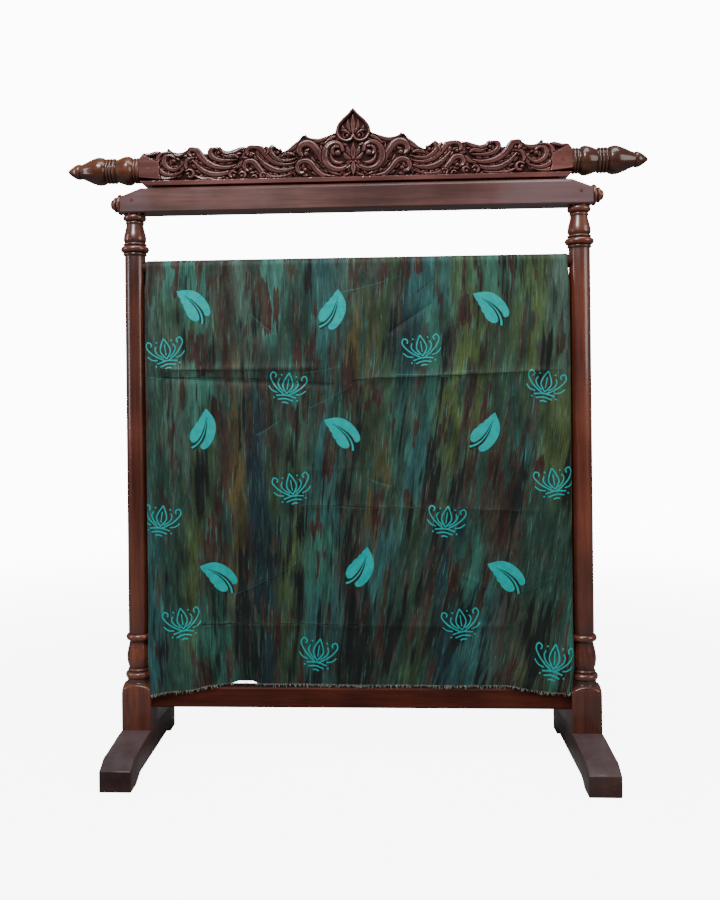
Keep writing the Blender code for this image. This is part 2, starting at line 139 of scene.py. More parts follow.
# Node trees
class Bench:
    """Short hand for laying out one node tree."""

    def __init__(self, tree: bpy.types.NodeTree) -> None:
        """Keep the tree that nodes go into."""
        self.tree = tree

    def put(self, kind: str, feeds: dict[str | int, object] | None = None, **settings: object) -> Node:
        """Add a node.

        Args:
            kind: Blender's name for the node type.
            feeds: What its inputs get, by their names or indices.
            settings: Properties set on the node first.

        Returns:
            The new node.
        """
        node = self.tree.nodes.new(kind)
        for name, value in settings.items():
            setattr(node, name, value)
        self.feed(node, feeds or {})
        return node

    def feed(self, node: Node, feeds: dict[str | int, object]) -> None:
        """Feed inputs from sockets, or set them from plain values.

        Args:
            node: Node that is fed.
            feeds: Socket, number, colour or vector for each input.
        """
        for name, source in feeds.items():
            target = node.inputs[name]
            if isinstance(source, Socket):
                self.tree.links.new(source, target)
            elif isinstance(source, tuple) and len(source) == 3 and target.type == "RGBA":
                target.default_value = (*source, 1.0)
            else:
                target.default_value = source

    def sum(self, operation: str, first: object, second: object = 0.0, third: object = 0.0,
            clamp: bool = False) -> Socket:
        """One arithmetic step."""
        feeds = {0: first, 1: second, 2: third}
        return self.put("ShaderNodeMath", feeds, operation=operation, use_clamp=clamp).outputs[0]

    def times(self, first: object, second: object, clamp: bool = False) -> Socket:
        """Product of two values."""
        return self.sum("MULTIPLY", first, second, clamp=clamp)

    def centred(self, value: object, weight: float, rest: object = 0.0) -> Socket:
        """Value less one half, times a weight, plus a rest."""
        return self.sum("MULTIPLY_ADD", self.sum("SUBTRACT", value, 0.5), weight, rest)

    def span(self, value: object, low: float, high: float, to_low: float = 0.0, to_high: float = 1.0,
             smooth: bool = True) -> Socket:
        """Map one range onto another and hold it there.

        Args:
            value: What is mapped.
            low: Start of its range.
            high: End of its range.
            to_low: Result at the start.
            to_high: Result at the end.
            smooth: Whether the ends are eased.

        Returns:
            The result's socket.
        """
        kind = "SMOOTHSTEP" if smooth else "LINEAR"
        feeds = {"Value": value, "From Min": low, "From Max": high, "To Min": to_low, "To Max": to_high}
        return self.put("ShaderNodeMapRange", feeds, interpolation_type=kind).outputs["Result"]

    def stretch(self, vector: object, scale: Point3 = (1.0, 1.0, 1.0), shift: Point3 = (0.0, 0.0, 0.0)
                ) -> Socket:
        """Scale and shift coordinates."""
        feeds = {"Vector": vector, "Scale": scale, "Location": shift}
        return self.put("ShaderNodeMapping", feeds).outputs["Vector"]

    def noise(self, vector: object, scale: float, detail: float = 2.0, roughness: float = 0.5,
              distortion: float = 0.0) -> Socket:
        """Fractal noise."""
        feeds = {"Vector": vector, "Scale": scale, "Detail": detail, "Roughness": roughness,
                 "Distortion": distortion}
        return self.put("ShaderNodeTexNoise", feeds).outputs["Fac"]

    def blend(self, share: object, first: object, second: object, how: str = "MIX") -> Socket:
        """Mix two colours."""
        feeds = {0: share, 6: first, 7: second}
        return self.put("ShaderNodeMix", feeds, data_type="RGBA", blend_type=how).outputs[2]

    def shaded(self, colour: object, shade: object) -> Socket:
        """Colour times a number."""
        grey = self.put("ShaderNodeCombineColor", {0: shade, 1: shade, 2: shade}).outputs[0]
        return self.blend(1.0, colour, grey, "MULTIPLY")

    def ramp(self, value: object, stops: Sequence[tuple[float, Colour]]) -> Socket:
        """Colour read off a ramp.

        Args:
            value: Where to read.
            stops: Position and colour of each stop.

        Returns:
            The colour's socket.
        """
        node = self.put("ShaderNodeValToRGB", {"Fac": value})
        marks = node.color_ramp.elements
        while len(marks) < len(stops):
            marks.new(0.5)
        for mark, (position, colour) in zip(marks, stops):
            mark.position = position
            mark.color = (*colour, 1.0)
        return node.outputs["Color"]

    def attribute(self, name: str, output: str = "Fac") -> Socket:
        """Read an attribute of the mesh."""
        node = self.put("ShaderNodeAttribute", attribute_type="GEOMETRY", attribute_name=name)
        return node.outputs[output]

    def parts(self, vector: object) -> bpy.types.NodeOutputs:
        """Split a vector into its three numbers."""
        return self.put("ShaderNodeSeparateXYZ", {0: vector}).outputs

    def bump(self, height: object, depth: float, strength: float = 1.0, normal: object = None) -> Socket:
        """Bump from a height.

        Args:
            height: Height between 0 and 1.
            depth: What a height of 1 stands for, in metres.
            strength: Share of it that is used.
            normal: Normal that it is added to.

        Returns:
            The normal's socket.
        """
        feeds = {"Height": height, "Distance": depth, "Strength": strength}
        if normal is not None:
            feeds["Normal"] = normal
        return self.put("ShaderNodeBump", feeds).outputs["Normal"]


def blank_material(name: str) -> tuple[Material, Bench, Node]:
    """Start a material.

    Args:
        name: Its name.

    Returns:
        The material, its bench and its surface node.
    """
    material = bpy.data.materials.new(name)
    material.use_nodes = True
    return material, Bench(material.node_tree), material.node_tree.nodes["Principled BSDF"]


@dataclass(frozen=True)
class VarnishedWood:
    """Stained hardwood under brushed varnish."""

    name: str
    stain: Stain
    grain: Grain
    roughness: float = 0.34
    coat: float = 0.5
    coat_roughness: float = 0.12
    scuffs: float = 0.0
    worn: float = 0.0
    painted_sheen: float = 0.0
    hollow_stain_and_shade: float = 0.16
    dull_hollows: float = 0.0
    floor_shade: float = 0.0
    shine: float = 0.5
    dust_and_sheen: float = 0.0
    # Brightness at the left and right end: painted light and shade.
    ends: tuple[float, float] = (1.0, 1.0)
    sheen_colour: Colour = (0.15, 0.1, 0.112)
    dust_and_sheen_colour: Colour = (0.088, 0.068, 0.074)
    scuffed_colour: Colour = (0.3, 0.21, 0.17)

    def build(self) -> Material:
        """Lay out the material: grain, pores, painted shade towards the floor, painted light and shade at
        the ends, painted sheen, a dusty film and painted sheen on upward faces, stain and painted shade in
        hollows, scuffs, brushed varnish.

        Returns:
            The material.
        """
        material, bench, surface = blank_material(self.name)
        dark, middle, light = self.stain.value
        plain = bench.put("ShaderNodeTexCoord").outputs["Object"]
        drawn = bench.stretch(plain, self.grain.value)
        place = bench.parts(plain)
        figure = bench.noise(drawn, 1.6, 6.0, 0.62, 0.6)
        pores = bench.noise(drawn, 9.0, 3.0, 0.6)
        clouds = bench.noise(plain, 4.5, 3.0, 0.5)
        colour = bench.ramp(figure, ((0.28, dark), (0.5, middle), (0.74, light)))
        colour = bench.blend(bench.times(bench.span(pores, 0.52, 0.66), 0.45), colour, dark)
        shade = bench.span(clouds, 0.3, 0.72, 0.62, 1.22)
        # Painted shade: the wood gets darker towards the floor.
        shade = bench.times(shade, bench.span(place[2], 0.12, 0.3, 1.0 - self.floor_shade, 1.0))
        # Painted light and shade: one end lighter and the other darker, as the light falls on them.
        shade = bench.times(shade, bench.span(place[0], -0.45, 0.5, *self.ends))
        colour = bench.shaded(colour, shade)
        # Painted sheen: hazy purple-grey patches towards both ends, standing for the room's reflection in
        # the varnish.
        sheen_patches = bench.noise(bench.stretch(plain, (3.4, 7.0, 7.0)), 1.0, 3.0, 0.55)
        sheen_patches = bench.times(bench.span(sheen_patches, 0.36, 0.62), self.painted_sheen)
        outer = bench.span(bench.sum("ABSOLUTE", place[0]), 0.12, 0.46)
        colour = bench.blend(bench.times(sheen_patches, outer), colour, self.sheen_colour)
        # Grey on upward faces, patchy: partly a dusty film, partly painted sheen from the light above.
        if self.dust_and_sheen:
            facing = bench.parts(bench.put("ShaderNodeNewGeometry").outputs["True Normal"])
            lying = bench.span(facing[2], 0.25, 0.95, 0.0, self.dust_and_sheen)
            worn_off = bench.span(bench.noise(plain, 16.0, 3.0, 0.6), 0.34, 0.6, 0.55, 1.0)
            colour = bench.blend(bench.times(lying, worn_off), colour, self.dust_and_sheen_colour)
        # Darker in hollows: partly stain left in them, partly painted shade where they lie in shadow.
        hollow = bench.attribute("hollow")
        stain = tuple(self.hollow_stain_and_shade * value for value in dark)
        colour = bench.blend(bench.times(hollow, 0.86, clamp=True), colour, stain)
        rub = bench.times(bench.attribute("ridge"), self.worn, clamp=True)
        colour = bench.blend(rub, colour, tuple(min(1.0, 1.6 * value) for value in light))
        knock = bench.span(bench.noise(plain, 75.0, 4.0, 0.72), 0.665, 0.7)
        patch = bench.span(bench.noise(plain, 8.0, 2.0), 0.5, 0.62)
        scuff = bench.times(bench.times(knock, patch), self.scuffs, clamp=True)
        rough = bench.span(clouds, 0.3, 0.7, self.roughness - 0.05, self.roughness + 0.07)
        rough = bench.sum("ADD", rough, bench.times(scuff, 0.35))
        rough = bench.sum("ADD", rough, bench.times(hollow, 0.42), clamp=True)
        brushed = bench.bump(pores, 0.00022, 0.55)
        brushed = bench.bump(bench.noise(plain, 160.0, 2.0), 0.00012, 0.5, brushed)
        coat = self.coat
        if self.dull_hollows:
            coat = bench.span(hollow, 0.0, 0.8, coat, coat * (1.0 - self.dull_hollows))
        bench.feed(surface, {
            "Base Color": bench.blend(scuff, colour, self.scuffed_colour),
            "Roughness": rough,
            "Normal": bench.bump(bench.noise(plain, 26.0, 2.0), 0.0006, 0.5, brushed),
            "Specular IOR Level": self.shine,
            "Coat Weight": coat,
            "Coat Roughness": self.coat_roughness,
            "Coat IOR": 1.5,
            "Coat Normal": bench.bump(bench.noise(plain, 30.0, 2.0), 0.0005, 0.5),
        })
        return material


@dataclass(frozen=True)
class BatikCotton:
    """Plain weave cotton, brushed with several dyes and stamped in turquoise."""

    name: str = "batik_cotton"
    stamp: Colour = (0.0, 0.385, 0.365)
    stamp_deep: Colour = (0.0, 0.32, 0.315)
    pale: Colour = (0.11, 0.21, 0.17)
    soaked: Colour = (0.0056, 0.0086, 0.0082)
    slit_and_fold_shade: Colour = (0.005, 0.006, 0.0055)
    thread: float = 0.00055

    def hairs(self, bench: Bench, flat: Socket, across: float, along: float,
              detail: float = 4.0) -> Socket:
        """Noise drawn out along the brush strokes."""
        return bench.noise(bench.stretch(flat, (across, along, 1.0)), 1.0, detail, 0.62)

    def strokes(self, bench: Bench, flat: Socket) -> Socket:
        """Colour of the brushed dyes.

        Args:
            bench: Bench of the material.
            flat: Coordinates on the flat cloth.

        Returns:
            The colour's socket.
        """
        ragged = bench.centred(self.hairs(bench, flat, 48.0, 4.5, 2.0), 2.4)
        ragged = bench.centred(self.hairs(bench, flat, 140.0, 8.0, 2.0), 1.0, ragged)
        torn = bench.stretch(flat, shift=(5.7, 2.9, 0.0))
        tear = bench.times(self.hairs(bench, torn, 52.0, 5.0, 2.0), 0.65)
        tear = bench.sum("MULTIPLY_ADD", self.hairs(bench, torn, 150.0, 9.0, 2.0), 0.35, tear)
        ground = bench.blend(bench.span(tear, 0.42, 0.58), bench.attribute("ground_dye", "Color"),
                             bench.attribute("lower_dye", "Color"))
        edge = bench.sum("ADD", bench.attribute("stroke_share"), ragged)
        colour = bench.blend(bench.span(edge, 0.46, 0.56), ground, bench.attribute("stroke_dye", "Color"))
        for shift, across, low, dye in ((1.7, 110.0, 0.565, Dye.SMOKE), (4.3, 190.0, 0.585, Dye.PALE_TEAL)):
            sliver = bench.stretch(flat, shift=(shift, shift / 2, 0.0))
            sliver = bench.span(self.hairs(bench, sliver, across, 10.0), low, low + 0.04)
            colour = bench.blend(bench.times(sliver, 0.48), colour, dye.value)
        moved = bench.stretch(flat, shift=(3.1, 7.7, 0.0))
        edge = bench.centred(self.hairs(bench, moved, 100.0, 6.0), 1.7)
        edge = bench.centred(self.hairs(bench, moved, 420.0, 14.0), 0.7, edge)
        edge = bench.sum("ADD", bench.attribute("dark_share"), edge)
        colour = bench.blend(bench.span(edge, 0.4, 0.66), colour, self.soaked)
        tone = bench.span(self.hairs(bench, flat, 34.0, 7.0), 0.3, 0.7, 0.5, 1.38)
        lines = bench.span(self.hairs(bench, flat, 330.0, 20.0), 0.34, 0.66, 0.72, 1.28)
        colour = bench.shaded(colour, bench.times(tone, lines))
        scratch = self.hairs(bench, bench.stretch(flat, shift=(9.0, 1.3, 0.0)), 330.0, 16.0)
        where = bench.span(self.hairs(bench, flat, 12.0, 6.0), 0.44, 0.56)
        scratch = bench.times(bench.times(bench.span(scratch, 0.64, 0.7), where), 0.58)
        return bench.blend(scratch, colour, self.pale)

    def build(self) -> Material:
        """Lay out the material: brushed dyes, stamps, painted highlight and shade lines along the folds,
        weave and soft sheen.

        Returns:
            The material.
        """
        material, bench, surface = blank_material(self.name)
        flat = bench.put("ShaderNodeUVMap", uv_map="flat").outputs["UV"]
        colour = self.strokes(bench, bench.attribute("brush", "Vector"))
        mottle = bench.span(bench.noise(flat, 60.0, 3.0), 0.35, 0.68)
        stamp = bench.blend(mottle, self.stamp, self.stamp_deep)
        print_and_fold_light = bench.attribute("print_share")
        missed = bench.span(bench.noise(flat, 420.0, 3.0, 0.65), 0.3, 0.36, 0.55, 1.0)
        # At 1 turquoise print; at 0.2 along the folds, painted highlight lines.
        colour = bench.blend(bench.times(print_and_fold_light, missed, clamp=True), colour, stamp)
        # Below 0: dark slits round the leaf ribs, and painted shade lines along the folds.
        colour = bench.blend(bench.times(print_and_fold_light, -1.0, clamp=True), colour, self.slit_and_fold_shade)
        place = bench.parts(flat)
        turn = 2 * math.pi / self.thread
        weft, warp = (bench.sum("SINE", bench.times(place[axis], turn)) for axis in (0, 1))
        weave = bench.sum("MULTIPLY_ADD", bench.times(weft, warp), 0.5, 0.5)
        slub = bench.bump(weave, 0.00006, 0.6)
        slub = bench.bump(self.hairs(bench, flat, 600.0, 60.0), 0.00012, 0.5, slub)
        bench.feed(surface, {
            "Base Color": colour,
            "Roughness": bench.span(mottle, 0.0, 1.0, 0.62, 0.74),
            "Normal": bench.bump(bench.noise(flat, 38.0, 3.0, 0.55), 0.0011, 0.45, slub),
            "Specular IOR Level": 0.22,
            "Sheen Weight": 0.06,
            "Sheen Roughness": 0.45,
        })
        return material


@dataclass(frozen=True)
class FrayedYarn:
    """Loose ends of the cotton's threads."""

    name: str = "frayed_yarn"
    pale: Colour = (0.42, 0.43, 0.37)
    dyed: Colour = (0.06, 0.11, 0.09)

    def build(self) -> Material:
        """Lay out the material.

        Returns:
            The material.
        """
        material, bench, surface = blank_material(self.name)
        place = bench.put("ShaderNodeTexCoord").outputs["Object"]
        share = bench.span(bench.noise(place, 90.0, 2.0), 0.32, 0.52)
        twist = bench.noise(bench.stretch(place, (1.0, 1.0, 4.0)), 900.0, 2.0)
        bench.feed(surface, {"Base Color": bench.blend(share, self.dyed, self.pale), "Roughness": 0.9,
                             "Normal": bench.bump(twist, 0.0001, 0.5)})
        return material


def linked(name: str, data: bpy.types.ID) -> bpy.types.Object:
    """New object in the scene."""
    thing = bpy.data.objects.new(name, data)
    bpy.context.scene.collection.objects.link(thing)
    return thing


# Studio
@dataclass(frozen=True)
class Studio:
    """Camera at the photograph's angle, pale floor, soft light."""

    eye: Point3 = (0.076, -2.4015, 0.93)
    yaw: float = 2.9
    roll: float = 0.61
    lens: float = 37.37
    shift: Point2 = (0.024, -0.0597)
    backdrop: float = 12.0
    fill: float = 0.2

    def place_camera(self) -> None:
        """Set up the camera, level, turned slightly to the left."""
        data = bpy.data.cameras.new("camera")
        data.sensor_fit = "VERTICAL"
        data.sensor_height = 36.0
        data.lens = self.lens
        data.shift_x = self.shift[0]
        data.shift_y = self.shift[1]
        data.clip_end = 60.0
        camera = linked("camera", data)
        yaw, roll = math.radians(self.yaw), math.radians(self.roll)
        ahead = Vector((-math.sin(yaw), math.cos(yaw), 0.0))
        side = Vector((math.cos(yaw), math.sin(yaw), 0.0))
        up = Vector((0.0, 0.0, 1.0))
        right = math.cos(roll) * side - math.sin(roll) * up
        above = math.cos(roll) * up + math.sin(roll) * side
        turn = Matrix((right, above, -ahead)).transposed().to_4x4()
        camera.matrix_world = Matrix.Translation(self.eye) @ turn
        bpy.context.scene.camera = camera

    def light(self, name: str, place: Point3, target: Point3, size: Point2, power: float,
              colour: Colour = (1.0, 1.0, 1.0)) -> None:
        """Hang one soft light.

        Args:
            name: Its name.
            place: Where it hangs.
            target: What it points at.
            size: Its width and height.
            power: Its power in watts.
            colour: Its colour.
        """
        data = bpy.data.lights.new(name, "AREA")
        data.shape = "RECTANGLE"
        data.size, data.size_y = size
        data.energy = power
        data.color = colour
        lamp = linked(name, data)
        lamp.location = place
        lamp.rotation_euler = (Vector(target) - Vector(place)).to_track_quat("-Z", "Y").to_euler()

    def hang_lights(self) -> None:
        """Broad light from the front and above, with a rim from each side."""
        self.light("key_light", (-0.9, -2.5, 3.5), (0.1, 0.0, 1.0), (1.3, 1.0), 110.0)
        self.light("top_light", (0.3, -0.7, 3.3), (0.0, 0.0, 0.9), (2.4, 1.0), 46.0)
        self.light("right_light", (3.0, -1.5, 1.9), (0.3, 0.0, 0.9), (1.6, 1.8), 40.0, (1.0, 0.94, 0.88))
        self.light("left_light", (-3.0, -0.8, 1.6), (-0.3, 0.0, 0.9), (0.5, 1.8), 20.0, (0.92, 0.94, 1.0))

    def set_world(self) -> None:
        """Even pale surround, bright behind the piece."""
        world = bpy.data.worlds.new("surround")
        world.use_nodes = True
        bpy.context.scene.world = world
        bench = Bench(world.node_tree)
        background = world.node_tree.nodes["Background"]
        seen = bench.put("ShaderNodeLightPath").outputs["Is Camera Ray"]
        strength = bench.span(seen, 0.0, 1.0, self.fill, self.backdrop, smooth=False)
        bench.feed(background, {"Color": (1.0, 1.0, 1.0), "Strength": strength})

    def lay_floor(self) -> None:
        """Pale floor that fades into the surround."""
        mesh = bpy.data.meshes.new("floor")
        work = bmesh.new()
        bmesh.ops.create_circle(work, cap_ends=True, segments=96, radius=24.0)
        work.to_mesh(mesh)
        work.free()
        floor = linked("floor", mesh)
        floor.location = (0.0, 0.0, -0.0005)
        material, bench, surface = blank_material("pale_floor")
        place = bench.put("ShaderNodeTexCoord").outputs["Object"]
        reach = bench.put("ShaderNodeVectorMath", {0: place}, operation="LENGTH")
        fade = bench.span(reach.outputs["Value"], 0.5, 5.0)
        speckle = bench.span(bench.noise(place, 3.0, 4.0), 0.3, 0.7, 0.8, 0.84)
        seen = bench.put("ShaderNodeLightPath").outputs["Is Camera Ray"]
        tone = bench.times(speckle, bench.span(seen, 0.0, 1.0, 0.3, 1.0, smooth=False))
        bench.feed(surface, {"Base Color": bench.shaded((1.0, 1.0, 1.0), tone), "Roughness": 0.9})
        glowing = bench.times(seen, bench.span(fade, 0.0, 1.0, self.backdrop * 0.6, self.backdrop))
        glow = bench.put("ShaderNodeEmission", {"Color": (1.0, 1.0, 1.0), "Strength": glowing})
        both = bench.put("ShaderNodeAddShader", {0: surface.outputs[0], 1: glow.outputs[0]})
        bench.feed(material.node_tree.nodes["Material Output"], {"Surface": both.outputs[0]})
        mesh.materials.append(material)

    def build(self) -> None:
        """Set up everything round the piece."""
        self.place_camera()
        self.hang_lights()
        self.set_world()
        self.lay_floor()


# Mesh helpers
def add_piece(name: str, mesh: Mesh, material: Material,
              replaced: Sequence[str] = (), smooth: float | None = 35.0) -> bpy.types.Object:
    """Put a finished mesh in the scene, on the one body.

    Args:
        name: Name of the piece.
        mesh: Its mesh, in place.
        material: Its finish.
        replaced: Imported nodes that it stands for.
        smooth: Angle under which edges are shaded smooth, or None.

    Returns:
        The object.
    """
    mesh.name = name
    mesh.materials.clear()
    mesh.materials.append(material)
    if smooth is not None:
        mesh.shade_smooth()
        mesh.set_sharp_from_angle(angle=math.radians(smooth))
    piece = linked(name, mesh)
    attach(piece, "root")
    if replaced:
        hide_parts(*replaced)
    log.info("%s: %d faces", name, len(mesh.polygons))
    return piece


def closed_mesh(vertices: Sequence[Sequence[float]], faces: Sequence[Sequence[int]]) -> Mesh:
    """Mesh with its normals turned outwards.

    Args:
        vertices: Points.
        faces: Point numbers of each face.

    Returns:
        The mesh.
    """
    mesh = bpy.data.meshes.new("piece")
    mesh.from_pydata([tuple(map(float, point)) for point in vertices], [], [tuple(face) for face in faces])
    work = bmesh.new()
    work.from_mesh(mesh)
    bmesh.ops.recalc_face_normals(work, faces=work.faces)
    work.to_mesh(mesh)
    work.free()
    return mesh


def give(mesh: Mesh, name: str, values: Array, domain: str = "POINT") -> None:
    """Store one number for each point or corner.

    Args:
        mesh: Mesh that gets it.
        name: Name of the attribute.
        values: The numbers, or colours in three columns.
        domain: Blender's name for where they sit.
    """
    values = np.asarray(values, np.float32)
    if values.ndim == 2:
        full = np.ones((len(values), 4), np.float32)
        full[:, :3] = values
        mesh.attributes.new(name, "FLOAT_COLOR", domain).data.foreach_set("color", full.ravel())
    else:
        mesh.attributes.new(name, "FLOAT", domain).data.foreach_set("value", values.ravel())


def lofted(rings: Sequence[Sequence[Point3]]) -> Mesh:
    """Skin over rings of equal point counts, closed at both ends.

    Args:
        rings: The rings in order.

    Returns:
        The mesh.
    """
    count = len(rings[0])
    vertices = [point for ring in rings for point in ring]
    faces: list[tuple[int, ...]] = []
    for row in range(len(rings) - 1):
        low, high = row * count, (row + 1) * count
        for step in range(count):
            after = (step + 1) % count
            faces.append((low + step, low + after, high + after, high + step))
    faces.append(tuple(reversed(range(count))))
    faces.append(tuple(range(len(vertices) - count, len(vertices))))
    return closed_mesh(vertices, faces)


def settled(piece: bpy.types.Object, helpers: Sequence[bpy.types.Object] = ()) -> Mesh:
    """Mesh of an object with its modifiers worked in; the object and its helpers are removed.

    Args:
        piece: Object with live modifiers.
        helpers: Objects that only served them.

    Returns:
        The plain mesh.
    """
    bpy.context.view_layer.update()
    graph = bpy.context.evaluated_depsgraph_get()
    mesh = bpy.data.meshes.new_from_object(piece.evaluated_get(graph), depsgraph=graph)
    for thing in (piece, *helpers):
        bpy.data.objects.remove(thing, do_unlink=True)
    return mesh


# Turning
def bead(start: float, end: float, root: float, crown: float, steps: int = 10) -> Profile:
    """Half-round ring standing on the root radius.

    Args:
        start: Where it starts along the axis.
        end: Where it ends.
        root: Radius at its feet.
        crown: Radius at its crown.
        steps: Spans round it.

    Returns:
        Rows of distance and radius.
    """
    middle, half = (start + end) / 2, (end - start) / 2
    rows = []
    for step in range(steps + 1):
        angle = math.pi * step / steps
        rows.append((middle - half * math.cos(angle), root + (crown - root) * math.sin(angle)))
    return rows


def flowing(points: Sequence[Point2], steps: int = 7) -> Profile:
    """Smooth line through a turner's marks, by Catmull-Rom spans.

    Args:
        points: The marks.
        steps: Points to a span.

    Returns:
        Rows along the line.
    """
    rows: Profile = []
    for index in range(len(points) - 1):
        before = points[max(index - 1, 0)]
        start, end = points[index], points[index + 1]
        after = points[min(index + 2, len(points) - 1)]
        for step in range(steps):
            t = step / steps
            rows.append(tuple(
                0.5 * (2 * b + (c - a) * t + (2 * a - 5 * b + 4 * c - d) * t ** 2
                       + (3 * b - a - 3 * c + d) * t ** 3)
                for a, b, c, d in zip(before, start, end, after)))
    rows.append(tuple(points[-1]))
    return rows


def hollows(profile: Profile, reach: float = 0.006) -> tuple[Array, Array]:
    """How deep each row of a turning lies in a groove, and how proud on a ring.

    Args:
        profile: Rows of distance and radius.
        reach: How far along the axis the neighbourhood goes.

    Returns:
        Depth and height, each between 0 and 1.
    """
    along = np.array([row[0] for row in profile])
    radius = np.array([row[1] for row in profile])
    even = np.linspace(along[0], along[-1], 2400)
    level = np.interp(even, along, radius)
    pitch = even[1] - even[0]
    half = max(3, int(3 * reach / pitch))
    window = np.exp(-(np.arange(-half, half + 1) * pitch / reach) ** 2)
    mean = np.convolve(np.pad(level, half, mode="edge"), window / window.sum(), mode="valid")
    off = np.interp(along, even, mean) - radius
    return np.clip(off / 0.0024, 0.0, 1.0), np.clip(-off / 0.0024, 0.0, 1.0)


def turned_mesh(profile: Profile, segments: int, phase: float,
                place: Callable[[float, float, float], Point3]) -> Mesh:
    """Skin over a turning.

    Args:
        profile: Rows of distance along the axis and radius.
        segments: Number of points round it.
        phase: Share of a segment at which the first of them stands.
        place: Gives the point for a distance, a radius and an angle.

    Returns:
        The mesh, with its hollows and rings marked.
    """
    angles = [2 * math.pi * (step + phase) / segments for step in range(segments)]
    mesh = lofted([[place(distance, radius, angle) for angle in angles] for distance, radius in profile])
    for name, values in zip(("hollow", "ridge"), hollows(profile)):
        give(mesh, name, np.repeat(values, segments))
    return mesh


@dataclass
class TurnedOnBoard:
    """Turned piece whose level axis runs outwards from a board's end."""

    name: str
    start: Point3
    side: int
    profile: Profile
    segments: int = 56

    def placed(self, distance: float, radius: float, angle: float) -> Point3:
        """Point of the turning."""
        x, y, z = self.start
        return x + self.side * distance, y + radius * math.cos(angle), z + radius * math.sin(angle)

    def build(self, finish: Material, slot: str) -> None:
        """Add the piece."""
        mesh = turned_mesh(self.profile, self.segments, 0.5, self.placed)
        add_piece(self.name + "_turned", mesh, finish, (self.name,))


def finial_profile() -> Profile:
    """Crest finial from the board out: collar, bulb, three rings, bud, knob.

    Returns:
        Rows of distance and radius.
    """
    profile: Profile = [(FIT, 0.029), (FIT + 0.0008, 0.03)]
    profile += bead(0.002, 0.0085, 0.0306, 0.033, 6)
    profile += bead(0.01, 0.0165, 0.0302, 0.0328, 6)
    profile += flowing([(0.0185, 0.0306), (0.026, 0.0362), (0.034, 0.0374), (0.045, 0.035),
                        (0.062, 0.0286)])
    for ring in range(3):
        start = 0.064 + ring * 0.0085
        profile += bead(start, start + 0.007, 0.0288, 0.0326, 8)
    profile += flowing([(0.0898, 0.03), (0.0935, 0.033), (0.098, 0.035), (0.1075, 0.0361),
                        (0.118, 0.0342), (0.132, 0.0288), (0.146, 0.0224), (0.157, 0.0182)])
    profile += flowing([(0.1585, 0.018), (0.16, 0.0198), (0.168, 0.019), (0.179, 0.013),
                        (0.189, 0.0052), (0.192, 0.0012)])
    return profile


def button_profile() -> Profile:
    """Button on the beam's end: broad ring, groove, small ring, tip.

    Returns:
        Rows of distance and radius.
    """
    profile: Profile = [(FIT, 0.0235)]
    profile += bead(0.002, 0.012, 0.0222, 0.0268)
    profile += [(0.0135, 0.019)]
    profile += bead(0.015, 0.0225, 0.0168, 0.0196, 8)
    profile += flowing([(0.024, 0.014), (0.0285, 0.0122), (0.0315, 0.0075), (0.033, 0.001)])
    return profile


@dataclass
class Post:
    """Post squared at its base and turned above, with a blind socket for the bar."""

    name: str
    side: int
    segments: int = 64
    block_corner: float = 0.0526
    socket_radius: float = 0.0178
    socket_depth: float = 0.013

    def profile(self) -> Profile:
        """Post from the bottom of its block to the beam.

        Returns:
            Rows of height and radius.
        """
        corner = self.block_corner
        rows: Profile = [(BLOCK_BOTTOM + FIT, corner - 0.0012), (BLOCK_BOTTOM + FIT + 0.0012, corner)]
        rows += [(height, corner) for height in np.linspace(0.09, 0.172, 6)]
        rows += flowing([(0.176, corner), (0.1805, 0.0505), (0.1862, 0.047), (0.1905, 0.042),
                         (0.1945, 0.0362), (0.197, 0.0315)], 4)
        rows += [(0.1985, 0.0306), (0.2062, 0.0304)]
        rows += bead(0.208, 0.2235, 0.0298, 0.0352)
        rows += bead(0.2255, 0.232, 0.0268, 0.029, 6)
        rows += flowing([(0.2335, 0.0252), (0.238, 0.0272), (0.2477, 0.0298), (0.2627, 0.0312),
                         (0.2777, 0.0292), (0.2927, 0.0258), (0.301, 0.0243)])
        rows += bead(0.3045, 0.3215, 0.0258, 0.033)
        rows += [(0.323, 0.0262), (0.325, SHAFT_R)]
        rows += [(height, SHAFT_R) for height in np.linspace(0.35, 1.23, 23)]
        rows += [(1.296, SHAFT_R), (1.2982, 0.0262)]
        rows += bead(1.3, 1.3065, 0.027, 0.0303, 6)
        rows += bead(1.3078, 1.3245, 0.028, 0.0362)
        rows += bead(1.326, 1.332, 0.027, 0.03, 6)
        rows += flowing([(1.3335, 0.0258), (1.336, 0.0274), (1.341, 0.029), (1.352, 0.0279),
                         (1.366, 0.0245), (1.379, 0.0217)])
        rows += bead(1.381, 1.3885, 0.0214, 0.0238, 6)
        rows += bead(1.3905, 1.406, 0.0234, 0.0293)
        rows += [(POST_TOP - FIT, 0.0236)]
        return rows

    def placed(self, height: float, radius: float, angle: float) -> Point3:
        """Point of the post, whose wide rows are cut off by the flats of its square stock."""
        along, across = math.cos(angle), math.sin(angle)
        reach = min(radius, BLOCK_HALF / max(abs(along), abs(across)))
        return self.side * POST_X + reach * along, reach * across, height

    def socket(self) -> Mesh:
        """Round cutter for the bar's socket.

        Returns:
            The mesh.
        """
        rings = []
        for offset in (-SHAFT_R - 0.01, -SHAFT_R + self.socket_depth):
            angles = [2 * math.pi * step / 48 for step in range(48)]
            x = self.side * (POST_X + offset)
            rings.append([(x, self.socket_radius * math.cos(angle),
                           BAR_Z + self.socket_radius * math.sin(angle)) for angle in angles])
        return lofted(rings)

    def build(self, finish: Material) -> None:
        """Cut the socket and add the post.

        Args:
            finish: Its material.
        """
        body = linked("post_blank", turned_mesh(self.profile(), self.segments, 0.0, self.placed))
        cutter = linked("socket_cutter", self.socket())
        cut = body.modifiers.new("bar socket", "BOOLEAN")
        cut.object = cutter
        cut.operation = "DIFFERENCE"
        cut.solver = "EXACT"
        add_piece(self.name + "_turned", settled(body, (cutter,)), finish, (self.name,))


